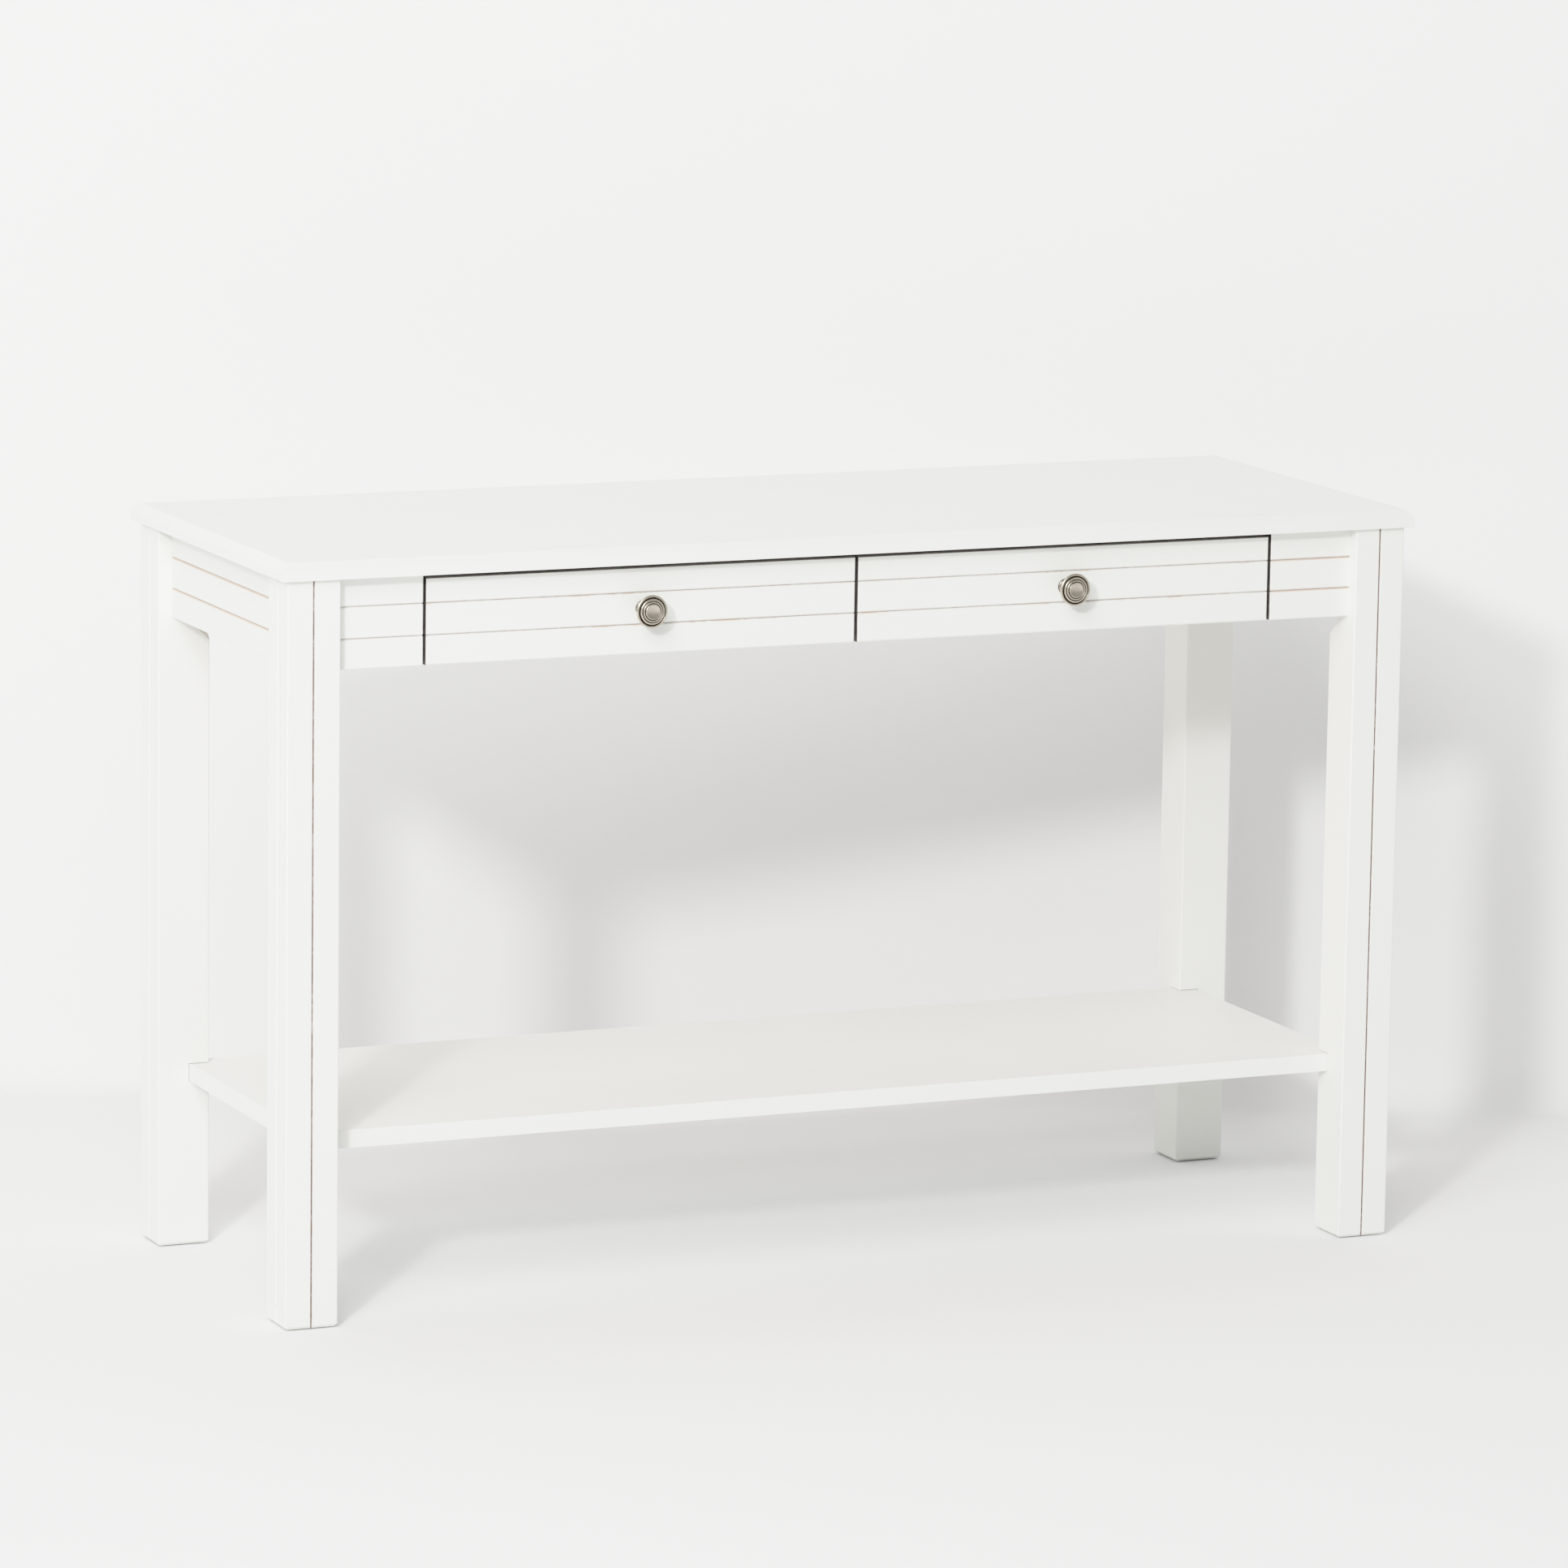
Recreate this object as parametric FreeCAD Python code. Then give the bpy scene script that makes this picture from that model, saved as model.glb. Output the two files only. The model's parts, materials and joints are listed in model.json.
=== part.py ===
import FreeCAD
import Part
import math
import os

# Console table: a bevelled top on four square legs, grooved aprons set back from the legs,
# two drawers on roller runners and a low shelf housed in the legs.
# Millimetres, +Z up, the front faces -Y. The origin is on the floor below the middle of the top.

Vec = FreeCAD.Vector

# Overall
TABLE_LENGTH = 1210.0
TABLE_DEPTH = 444.0
TABLE_HEIGHT = 750.0

# Top
TOP_THICKNESS = 17.5
TOP_OVERHANG = 7.5
TOP_BEVEL = 7.6
TOP_BEVEL_ROUND = 2.2
TOP_LOWER_ROUND = 0.6

# Legs
LEG_SIZE = 54.0
LEG_EDGE_ROUND = 1.6
LEG_FOOT_CHAMFER = 2.6
LEG_CORNER_CUT = 18.5
LEG_CUT_BELOW_APRON = 8.0
LEG_CUT_RUNOUT = 16.4
GLIDE_HEIGHT = 1.5
GLIDE_RADIUS = 11.0
GLIDE_PIN_RADIUS = 1.2
GLIDE_PIN_LENGTH = 14.0

# V-grooves in the legs and aprons
GROOVE_WIDTH = 3.2
GROOVE_DEPTH = 2.2
LOWER_GROOVE_HEIGHT = 29.2
UPPER_GROOVE_HEIGHT = 60.4

# Aprons and the fixed panels beside the drawers
APRON_HEIGHT = 90.5
APRON_THICKNESS = 18.0
APRON_RECESS = 13.5
BOARD_EDGE_ROUND = 0.9
FRONT_PANEL_LENGTH = 89.0

# Shelf
SHELF_TOP_HEIGHT = 187.0
SHELF_THICKNESS = 18.0
SHELF_SETBACK = 33.0
SHELF_EDGE_ROUND = 0.8
SHELF_SLOT_CLEARANCE = 0.6

# Inner frame
DIVIDER_THICKNESS = 18.0
DIVIDER_LIFT = 5.0
RAIL_THICKNESS = 15.0
RAIL_DEPTH = 50.0
RAIL_SETBACK = 1.5

# Drawers
DRAWER_GAP = 3.0
DRAWER_TOP_GAP = 5.4
DRAWER_EDGE_ROUND = 1.4
DRAWER_REAR_SPACE = 21.0
DRAWER_BOX_HEIGHT = 56.0
DRAWER_BOX_LIFT = 13.5
DRAWER_SIDE_THICKNESS = 12.0
DRAWER_BOTTOM_THICKNESS = 4.0
DRAWER_BOTTOM_RAISE = 6.0
DRAWER_BOTTOM_TENON = 6.0
DRAWER_BOTTOM_CLEARANCE = 0.15

# Roller runners: across the space between divider and drawer side, u is the distance
# from the divider, and heights are above the drawer side's lower edge.
RUNNER_SPACE = 12.5
RUNNER_SHEET = 1.2
RUNNER_END_GAP = 3.0
RUNNER_FLANGE_REACH = 10.4
RUNNER_TOP_FLANGE_REACH = 8.0
RUNNER_TOP_CUTBACK = 40.0
RUNNER_MEMBER_FLANGE_START = 2.4
RUNNER_MEMBER_HEIGHT = 14.0
RUNNER_FOOT_REACH = 10.0
RUNNER_HEAD_ROOM = 1.5
RUNNER_SCREW_SPACING = 110.0
ROLLER_RADIUS = 9.0
ROLLER_WIDTH = 6.0
ROLLER_CLEARANCE = 0.3
ROLLER_EDGE_ROUND = 0.8
ROLLER_END_MARGIN = 12.0
FRONT_ROLLER_START = 2.2
REAR_ROLLER_START = 3.5
AXLE_RADIUS = 2.5
AXLE_RUNNING_CLEARANCE = 0.05
AXLE_COLLAR_RADIUS = 4.0
AXLE_HEAD_RADIUS = 4.6
AXLE_HEAD_THICKNESS = 0.9
AXLE_SIDE_PLAY = 0.1

# Knobs
KNOB_RADIUS = 16.3
KNOB_LENGTH = 27.5
KNOB_HEIGHT = 44.8
KNOB_SCREW_RADIUS = 2.0
KNOB_SCREW_DEPTH = 12.0
KNOB_SCREW_HEAD_RADIUS = 4.2
KNOB_SCREW_HEAD_THICKNESS = 2.6

# Corner brackets and hanger bolts
BRACKET_SHEET = 2.0
BRACKET_HEIGHT = 50.0
BRACKET_FLANGE = 27.0
BRACKET_STANDOFF = 11.0
BOLT_RADIUS = 4.0
BOLT_LENGTH = 60.0
BOLT_DEPTH = 34.0
BOLT_CHAMFER = 1.0
NUT_ACROSS_FLATS = 13.0
NUT_THICKNESS = 6.5
NUT_FLANGE_RADIUS = 9.0
NUT_FLANGE_THICKNESS = 1.6

# Small angle brackets that hold the top
ANGLE_REACH = 18.0
ANGLE_WIDTH = 22.0
ANGLE_SHEET = 2.0
ANGLE_SIDE_OFFSET = 60.0
ANGLE_REAR_OFFSET = 230.0

# Fasteners
SCREW_RADIUS = 1.7
SCREW_HEAD_RADIUS = 3.4
SCREW_LENGTH = 15.0
SCREW_TIP_LENGTH = 3.0
SCREW_END_WALL = 1.0
DOWEL_RADIUS = 4.0
DOWEL_LENGTH = 24.0
BOX_DOWEL_RADIUS = 3.0
BOX_DOWEL_LENGTH = 22.0
DOWEL_END_GAP = 0.5
FIT_CLEARANCE = 0.05

# Worked out from the sizes above
LEG_X = TABLE_LENGTH / 2 - TOP_OVERHANG
LEG_Y = TABLE_DEPTH / 2 - TOP_OVERHANG
LEG_INNER_X = LEG_X - LEG_SIZE
LEG_INNER_Y = LEG_Y - LEG_SIZE
LEG_TOP = TABLE_HEIGHT - TOP_THICKNESS
APRON_BOTTOM = LEG_TOP - APRON_HEIGHT
APRON_X = LEG_X - APRON_RECESS
APRON_Y = LEG_Y - APRON_RECESS
APRON_INNER_X = APRON_X - APRON_THICKNESS
APRON_INNER_Y = APRON_Y - APRON_THICKNESS
OPENING_X = LEG_INNER_X - FRONT_PANEL_LENGTH
DIVIDER_BOTTOM = APRON_BOTTOM + DIVIDER_LIFT
RAIL_BOTTOM = LEG_TOP - RAIL_THICKNESS
RAIL_FRONT = -APRON_INNER_Y + RAIL_SETBACK
RAIL_BACK = RAIL_FRONT + RAIL_DEPTH
BRACKET_Z = APRON_BOTTOM + (APRON_HEIGHT - BRACKET_HEIGHT) / 2
BOLT_Z = APRON_BOTTOM + APRON_HEIGHT / 2
CUT_DEPTH = LEG_CORNER_CUT / math.sqrt(2)
SHELF_X = LEG_X - SHELF_SETBACK
SHELF_Y = LEG_Y - SHELF_SETBACK
BOX_LEFT = -OPENING_X + RUNNER_SPACE
BOX_RIGHT = -DIVIDER_THICKNESS / 2 - RUNNER_SPACE
BOX_BOTTOM = APRON_BOTTOM + DRAWER_BOX_LIFT
BOX_TOP = BOX_BOTTOM + DRAWER_BOX_HEIGHT
BOX_FRONT = -APRON_INNER_Y
BOX_REAR = APRON_INNER_Y - DRAWER_REAR_SPACE
BOX_FLOOR = BOX_BOTTOM + DRAWER_BOTTOM_RAISE + DRAWER_BOTTOM_THICKNESS
DRAWER_OUTER_X = OPENING_X - DRAWER_GAP
DRAWER_INNER_X = DRAWER_GAP / 2
DRAWER_FRONT_HEIGHT = APRON_HEIGHT - DRAWER_TOP_GAP
KNOB_X = -(DRAWER_OUTER_X + DRAWER_INNER_X) / 2
KNOB_Z = APRON_BOTTOM + KNOB_HEIGHT
ROLLER_Z = BOX_BOTTOM + RUNNER_MEMBER_HEIGHT - RUNNER_SHEET - ROLLER_CLEARANCE - ROLLER_RADIUS
TRACK_Z = ROLLER_Z - ROLLER_RADIUS - ROLLER_CLEARANCE
RUNNER_FRONT = BOX_FRONT + RUNNER_END_GAP
RUNNER_BACK = BOX_REAR + RUNNER_END_GAP
FRONT_ROLLER_Y = RUNNER_FRONT + ROLLER_END_MARGIN
REAR_ROLLER_Y = BOX_REAR - ROLLER_END_MARGIN

X_AXIS = Vec(1, 0, 0)
Y_AXIS = Vec(0, 1, 0)
Z_AXIS = Vec(0, 0, 1)
ORIGIN = Vec(0, 0, 0)


# ---- basic shapes ----

def block(x0, x1, y0, y1, z0, z1):
    return Part.makeBox(x1 - x0, y1 - y0, z1 - z0, Vec(x0, y0, z0))


def rod(start, end, radius):
    return Part.makeCylinder(radius, (end - start).Length, start, end - start)


def prism(points, sweep):
    """A closed polygon swept along a vector."""
    wire = Part.makePolygon(points + [points[0]])
    return Part.Face(wire).extrude(sweep)


def turned(profile, start, direction):
    """A solid turned from (distance along the axis, radius) points."""
    points = [Vec(radius, 0, along) for along, radius in profile]
    face = Part.Face(Part.makePolygon(points + [points[0]]))
    return aligned(face.revolve(ORIGIN, Z_AXIS, 360), start, direction)


def aligned(shape, start, direction):
    """The shape with its own Z axis laid along the direction, starting at the point."""
    placed = shape.copy()
    placed.Placement = FreeCAD.Placement(start, FreeCAD.Rotation(Z_AXIS, direction))
    return placed


def mirror_x(shape):
    return shape.mirror(ORIGIN, X_AXIS)


def mirror_y(shape):
    return shape.mirror(ORIGIN, Y_AXIS)


def edges_where(shape, test):
    return [edge for edge in shape.Edges if test(edge.BoundBox)]


# ---- fasteners: each is a solid and the hole that it needs ----

def screw_profile(length, extra):
    radius = SCREW_RADIUS + extra
    head = SCREW_HEAD_RADIUS + extra
    return [(0, 0), (0, head), (head - radius, radius),
            (length - SCREW_TIP_LENGTH + extra, radius), (length + extra, 0)]


def screw(head_point, direction, sheet, wall):
    """A countersunk screw through a sheet-metal piece, that ends inside the wall behind it."""
    length = min(SCREW_LENGTH, sheet + wall - SCREW_END_WALL)
    solid = turned(screw_profile(length, 0.0), head_point, direction)
    hole = turned(screw_profile(length, FIT_CLEARANCE), head_point, direction)
    return solid, hole


def dowel(middle, direction, radius=DOWEL_RADIUS, length=DOWEL_LENGTH):
    half = Vec(direction).multiply(length / 2)
    reach = Vec(direction).multiply(length / 2 + DOWEL_END_GAP)
    solid = rod(middle - half, middle + half, radius)
    hole = rod(middle - reach, middle + reach, radius + FIT_CLEARANCE)
    return solid, hole


def drilled(piece, fasteners):
    """The piece with a hole for every fastener that reaches it."""
    holes = [hole for _, hole in fasteners if hole.BoundBox.intersect(piece.BoundBox)]
    return piece.cut(holes) if holes else piece


def solids_of(fasteners):
    return Part.makeCompound([solid for solid, _ in fasteners])


# ---- boards ----

def notch(height, face_y):
    """A V-groove's section, in the plane across a board that faces -Y."""
    half = GROOVE_WIDTH / 2
    return [Vec(0, face_y, height + half), Vec(0, face_y + GROOVE_DEPTH, height),
            Vec(0, face_y, height - half)]


def grooved_board(length, height):
    """A board that faces -Y from y = 0, from x = 0 to its length, with two long V-grooves."""
    back = APRON_THICKNESS
    section = [Vec(0, 0, 0), Vec(0, back, 0), Vec(0, back, height), Vec(0, 0, height)]
    section += notch(UPPER_GROOVE_HEIGHT, 0)
    section += notch(LOWER_GROOVE_HEIGHT, 0)
    return prism(section, Vec(length, 0, 0))


def soften_front(board, ends, size=BOARD_EDGE_ROUND):
    """Rounds the lower front edge of a board, and its upright front edges at the named ends."""
    box = board.BoundBox

    def chosen(edge_box):
        at_front = edge_box.YMax < box.YMin + 0.01
        lower = edge_box.ZMax < box.ZMin + 0.01 and edge_box.XLength > 1
        at_left = "left" in ends and abs(edge_box.XMin - box.XMin) < 0.01
        at_right = "right" in ends and abs(edge_box.XMax - box.XMax) < 0.01
        upright = edge_box.ZLength > 1 and (at_left or at_right)
        return at_front and (lower or upright)

    return board.makeChamfer(size, edges_where(board, chosen))


def front_panel_left():
    board = grooved_board(FRONT_PANEL_LENGTH, APRON_HEIGHT)
    board = soften_front(board, ["right"])
    board.translate(Vec(-LEG_INNER_X, -APRON_Y, APRON_BOTTOM))
    return board


def rear_apron():
    board = soften_front(grooved_board(2 * LEG_INNER_X, APRON_HEIGHT), [])
    board.translate(Vec(-LEG_INNER_X, -APRON_Y, APRON_BOTTOM))
    return mirror_y(board)


def side_apron_left():
    board = soften_front(grooved_board(2 * LEG_INNER_Y, APRON_HEIGHT), [])
    board.rotate(ORIGIN, Z_AXIS, -90)
    board.translate(Vec(-APRON_X, LEG_INNER_Y, APRON_BOTTOM))
    return board


def top_panel():
    panel = block(-TABLE_LENGTH / 2, TABLE_LENGTH / 2, -TABLE_DEPTH / 2, TABLE_DEPTH / 2,
                  LEG_TOP, TABLE_HEIGHT)
    panel = panel.makeChamfer(TOP_BEVEL, edges_where(panel, lambda b: b.ZMin > TABLE_HEIGHT - 0.01))
    ridge = TABLE_HEIGHT - TOP_BEVEL
    panel = panel.makeFillet(TOP_BEVEL_ROUND, edges_where(
        panel, lambda b: b.ZLength < 0.01 and b.ZMin > ridge - 0.01))
    return panel.makeFillet(TOP_LOWER_ROUND, edges_where(panel, lambda b: b.ZMax < LEG_TOP + 0.01))


def corner_cut():
    """The 45 degree cut on the leg's inner corner, with its run-out below the apron."""
    into_leg = Vec(1, 1, 0).normalize()
    along = Vec(-1, 1, 0).normalize()
    full = APRON_BOTTOM - LEG_CUT_BELOW_APRON
    margin = 6.0
    slope = LEG_CUT_RUNOUT / CUT_DEPTH
    profile = [(-margin, LEG_TOP + 1), (CUT_DEPTH, LEG_TOP + 1), (CUT_DEPTH, full),
               (-margin, full - LEG_CUT_RUNOUT - margin * slope)]
    corner = Vec(LEG_INNER_X, LEG_INNER_Y, 0)
    points = [corner + into_leg * distance - along * LEG_SIZE + Z_AXIS * height
              for distance, height in profile]
    return prism(points, along * (2 * LEG_SIZE))


def leg_outline(inset, radius, z):
    """The leg's square outline with rounded corners, as a closed wire."""
    x0, x1 = LEG_INNER_X + inset, LEG_X - inset
    y0, y1 = LEG_INNER_Y + inset, LEG_Y - inset
    corners = [(x0, y0, 180), (x1, y0, 270), (x1, y1, 0), (x0, y1, 90)]
    arcs = []
    for x, y, turn in corners:
        centre = Vec(x + math.copysign(radius, (x0 + x1) / 2 - x),
                     y + math.copysign(radius, (y0 + y1) / 2 - y), z)
        angles = [math.radians(a) for a in (turn, turn + 45, turn + 90)]
        start, middle, end = [centre + Vec(math.cos(a), math.sin(a), 0) * radius for a in angles]
        arcs.append(Part.Arc(start, middle, end))
    edges = []
    for i, arc in enumerate(arcs):
        following = arcs[(i + 1) % len(arcs)]
        edges += [arc.toShape(), Part.LineSegment(arc.EndPoint, following.StartPoint).toShape()]
    return Part.Wire(edges)


def leg_groove(face, middle):
    half = GROOVE_WIDTH / 2
    margin = 1.0
    wide = half * (GROOVE_DEPTH + margin) / GROOVE_DEPTH
    points = [Vec(face + margin, middle - wide, 0), Vec(face - GROOVE_DEPTH, middle, 0),
              Vec(face + margin, middle + wide, 0)]
    return prism(points, Vec(0, 0, TABLE_HEIGHT))


def leg_rear_right():
    """The leg at +X +Y; the other three are its mirror images."""
    foot_top = GLIDE_HEIGHT + LEG_FOOT_CHAMFER
    full = leg_outline(0.0, LEG_EDGE_ROUND, foot_top)
    foot = leg_outline(LEG_FOOT_CHAMFER, LEG_EDGE_ROUND / 2, GLIDE_HEIGHT)
    post = Part.Face(full).extrude(Vec(0, 0, LEG_TOP - foot_top))
    leg = post.fuse(Part.makeLoft([foot, full], True, True))
    side_groove = leg_groove(LEG_X, LEG_Y - LEG_SIZE / 2)
    back_groove = leg_groove(LEG_Y, -(LEG_X - LEG_SIZE / 2))
    back_groove.rotate(ORIGIN, Z_AXIS, 90)
    gap = SHELF_SLOT_CLEARANCE
    slot = block(LEG_INNER_X - 1, SHELF_X + gap, LEG_INNER_Y - 1, SHELF_Y + gap,
                 SHELF_TOP_HEIGHT - SHELF_THICKNESS, SHELF_TOP_HEIGHT + gap)
    return leg.cut([side_groove, back_groove, slot, corner_cut()])


def shelf():
    board = block(-SHELF_X, SHELF_X, -SHELF_Y, SHELF_Y,
                  SHELF_TOP_HEIGHT - SHELF_THICKNESS, SHELF_TOP_HEIGHT)
    return board.makeFillet(SHELF_EDGE_ROUND, edges_where(board, lambda b: b.ZLength < 0.01))


def leg_glides():
    middle = Vec(LEG_X - LEG_SIZE / 2, LEG_Y - LEG_SIZE / 2, 0)
    profile = [(0, 0), (0, GLIDE_RADIUS - 1), (1, GLIDE_RADIUS), (GLIDE_HEIGHT, GLIDE_RADIUS),
               (GLIDE_HEIGHT, GLIDE_PIN_RADIUS), (GLIDE_PIN_LENGTH, GLIDE_PIN_RADIUS),
               (GLIDE_PIN_LENGTH + 1, 0)]
    glide = turned(profile, middle, Z_AXIS)
    hole = rod(middle, middle + Vec(0, 0, GLIDE_PIN_LENGTH + 2), GLIDE_PIN_RADIUS + FIT_CLEARANCE)
    return glide, hole


def divider_left():
    return block(-OPENING_X - DIVIDER_THICKNESS, -OPENING_X, -APRON_INNER_Y, APRON_INNER_Y,
                 DIVIDER_BOTTOM, LEG_TOP)


def divider_centre():
    half = DIVIDER_THICKNESS / 2
    board = block(-half, half, RAIL_FRONT, APRON_INNER_Y, DIVIDER_BOTTOM, LEG_TOP)
    notch_for_rail = block(-half - 1, half + 1, RAIL_FRONT - 1, RAIL_BACK, RAIL_BOTTOM, LEG_TOP + 1)
    return board.cut(notch_for_rail)


def front_top_rail():
    return block(-OPENING_X, OPENING_X, RAIL_FRONT, RAIL_BACK, RAIL_BOTTOM, LEG_TOP)


def frame_dowels():
    """Dowels that join the dividers to the rear apron, the fixed panels and the rail."""
    low = DIVIDER_BOTTOM + DOWEL_LENGTH
    high = LEG_TOP - DOWEL_LENGTH
    divider_x = OPENING_X + DIVIDER_THICKNESS / 2
    found = []
    for x in (-divider_x, 0, divider_x):
        for z in (low, high):
            found.append(dowel(Vec(x, APRON_INNER_Y, z), Y_AXIS))
            if x:
                found.append(dowel(Vec(x, -APRON_INNER_Y, z), Y_AXIS))
    for side in (-1, 1):
        for y in (RAIL_FRONT + RAIL_DEPTH / 4, RAIL_BACK - RAIL_DEPTH / 4):
            found.append(dowel(Vec(side * OPENING_X, y, LEG_TOP - RAIL_THICKNESS / 2), X_AXIS))
    return found


# ---- corner brackets and hanger bolts, in the corner at -X -Y ----

def corner_point(along_x, along_y, z):
    """A point by its distances from the inner faces of the side apron and the front."""
    return Vec(-APRON_INNER_X + along_x, -APRON_INNER_Y + along_y, z)


def cut_face_sum():
    """The sum of both distances on the leg's 45 degree cut face."""
    return (APRON_INNER_X - LEG_INNER_X) + (APRON_INNER_Y - LEG_INNER_Y) - LEG_CORNER_CUT


def corner_bracket():
    near = cut_face_sum() + BRACKET_STANDOFF * math.sqrt(2)
    far = near + BRACKET_SHEET * math.sqrt(2)
    end = near + BRACKET_FLANGE
    sheet = BRACKET_SHEET
    outline = [(0, end), (0, near), (near, 0), (end, 0), (end, sheet), (far - sheet, sheet),
               (sheet, far - sheet), (sheet, end)]
    points = [corner_point(a, b, BRACKET_Z) for a, b in outline]
    bracket = prism(points, Vec(0, 0, BRACKET_HEIGHT))
    return bracket.cut(rod(bolt_point(0), bolt_point(BOLT_LENGTH), BOLT_RADIUS + 4 * FIT_CLEARANCE))


def bolt_point(distance):
    """A point on the hanger bolt's axis, by its distance inwards from the leg's cut face."""
    middle = cut_face_sum() / 2
    shift = distance / math.sqrt(2)
    return corner_point(middle + shift, middle + shift, BOLT_Z)


def hanger_bolt():
    end = BOLT_LENGTH - BOLT_DEPTH
    profile = [(0, 0), (0, BOLT_RADIUS - BOLT_CHAMFER), (3 * BOLT_CHAMFER, BOLT_RADIUS),
               (BOLT_LENGTH - BOLT_CHAMFER, BOLT_RADIUS), (BOLT_LENGTH, BOLT_RADIUS - BOLT_CHAMFER),
               (BOLT_LENGTH, 0)]
    inwards = Vec(1, 1, 0).normalize()
    solid = turned(profile, bolt_point(-BOLT_DEPTH), inwards)
    hole = rod(bolt_point(-BOLT_DEPTH - 1), bolt_point(end), BOLT_RADIUS + FIT_CLEARANCE)
    return solid, hole


def flange_nut(bolt):
    start = BRACKET_STANDOFF + BRACKET_SHEET
    inwards = Vec(1, 1, 0).normalize()
    corner_radius = NUT_ACROSS_FLATS / math.sqrt(3)
    points = [Vec(corner_radius * math.cos(math.radians(60 * i)),
                  corner_radius * math.sin(math.radians(60 * i)), 0) for i in range(6)]
    body = aligned(prism(points, Vec(0, 0, NUT_THICKNESS)), bolt_point(start), inwards)
    flange = rod(bolt_point(start), bolt_point(start + NUT_FLANGE_THICKNESS), NUT_FLANGE_RADIUS)
    return body.fuse(flange).removeSplitter().cut(bolt[1])


def corner_bracket_screws():
    near = cut_face_sum() + BRACKET_STANDOFF * math.sqrt(2)
    middle = near + BRACKET_FLANGE * 0.6
    found = []
    sheet = BRACKET_SHEET
    for z in (BRACKET_Z + BRACKET_HEIGHT / 5, BRACKET_Z + BRACKET_HEIGHT * 4 / 5):
        found.append(screw(corner_point(sheet, middle, z), -X_AXIS, sheet, APRON_THICKNESS))
        found.append(screw(corner_point(middle, sheet, z), -Y_AXIS, sheet, APRON_THICKNESS))
    return found


def in_all_corners(pair):
    """A fastener and its hole at all four corners."""
    places = [lambda s: s, mirror_x, mirror_y, lambda s: mirror_x(mirror_y(s))]
    return [tuple(place(shape) for shape in pair) for place in places]


# ---- angle brackets below the top ----

def angle_bracket(base, inwards):
    """An angle bracket against a board's inner face and the top; base is on both faces."""
    across = Z_AXIS.cross(inwards)
    corner = base - across * (ANGLE_WIDTH / 2)
    sheet = ANGLE_SHEET
    outline = [(0, 0), (0, -ANGLE_REACH), (sheet, -ANGLE_REACH), (sheet, -sheet),
               (ANGLE_REACH, -sheet), (ANGLE_REACH, 0)]
    points = [corner + inwards * out + Z_AXIS * up for out, up in outline]
    bracket = prism(points, across * ANGLE_WIDTH)
    middle = ANGLE_REACH * 0.6
    on_board = base + inwards * sheet - Z_AXIS * middle
    below_top = base + inwards * middle - Z_AXIS * sheet
    into_board = screw(on_board, -inwards, sheet, APRON_THICKNESS)
    into_top = screw(below_top, Z_AXIS, sheet, TOP_THICKNESS)
    return bracket, [into_board, into_top]


def angle_places():
    panel_x = (LEG_INNER_X + OPENING_X + DIVIDER_THICKNESS) / 2
    places = []
    for side in (-1, 1):
        for offset in (-ANGLE_SIDE_OFFSET, ANGLE_SIDE_OFFSET):
            places.append((Vec(side * APRON_INNER_X, offset, LEG_TOP), X_AXIS * -side))
        places.append((Vec(side * ANGLE_REAR_OFFSET, APRON_INNER_Y, LEG_TOP), -Y_AXIS))
        places.append((Vec(side * panel_x, -APRON_INNER_Y, LEG_TOP), Y_AXIS))
    return places


# ---- roller runners: at the drawer's left side; the right one is a mirror image ----

def runner_point(u, y, height):
    return Vec(-OPENING_X + u, y, BOX_BOTTOM + height)


def cabinet_runner():
    """The channel on the divider: the drawer's rear roller runs on its lower flange."""
    sheet = RUNNER_SHEET
    low = TRACK_Z - BOX_BOTTOM - sheet
    high = RUNNER_MEMBER_HEIGHT + RUNNER_HEAD_ROOM
    length = RUNNER_BACK - RUNNER_FRONT
    lower_reach = RUNNER_FLANGE_REACH
    upper_reach = RUNNER_TOP_FLANGE_REACH
    outline = [(0, low), (lower_reach, low), (lower_reach, low + sheet), (sheet, low + sheet),
               (sheet, high), (upper_reach, high), (upper_reach, high + sheet), (0, high + sheet)]
    channel = prism([runner_point(u, RUNNER_FRONT, h) for u, h in outline], Vec(0, length, 0))
    start = runner_point(sheet, RUNNER_FRONT - 1, high - 1)
    opening = Part.makeBox(RUNNER_SPACE, RUNNER_TOP_CUTBACK, sheet + 2, start)
    return channel.cut(opening)


def drawer_runner():
    """The member along the drawer side's lower edge: its upper flange rides on the front roller."""
    sheet = RUNNER_SHEET
    outer = RUNNER_SPACE - sheet
    top = RUNNER_MEMBER_HEIGHT
    foot = RUNNER_SPACE + RUNNER_FOOT_REACH
    outline = [(foot, 0), (foot, -sheet), (outer, -sheet), (outer, top - sheet),
               (RUNNER_MEMBER_FLANGE_START, top - sheet), (RUNNER_MEMBER_FLANGE_START, top),
               (RUNNER_SPACE, top), (RUNNER_SPACE, 0)]
    return prism([runner_point(u, RUNNER_FRONT, h) for u, h in outline],
                 Vec(0, BOX_REAR - RUNNER_FRONT, 0))


def runner_screw_places():
    middle = (RUNNER_FRONT + BOX_REAR) / 2
    return [middle + step * RUNNER_SCREW_SPACING for step in (-1, 0, 1)]


def cabinet_runner_screws():
    height = ROLLER_Z - BOX_BOTTOM
    wall = DIVIDER_THICKNESS / 2
    return [screw(runner_point(RUNNER_SHEET, y, height), -X_AXIS, RUNNER_SHEET, wall)
            for y in runner_screw_places()]


def drawer_runner_screws():
    start = RUNNER_SPACE - RUNNER_SHEET
    height = ROLLER_Z - BOX_BOTTOM
    return [screw(runner_point(start, y, height), X_AXIS, RUNNER_SHEET, DRAWER_SIDE_THICKNESS)
            for y in runner_screw_places()]


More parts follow.
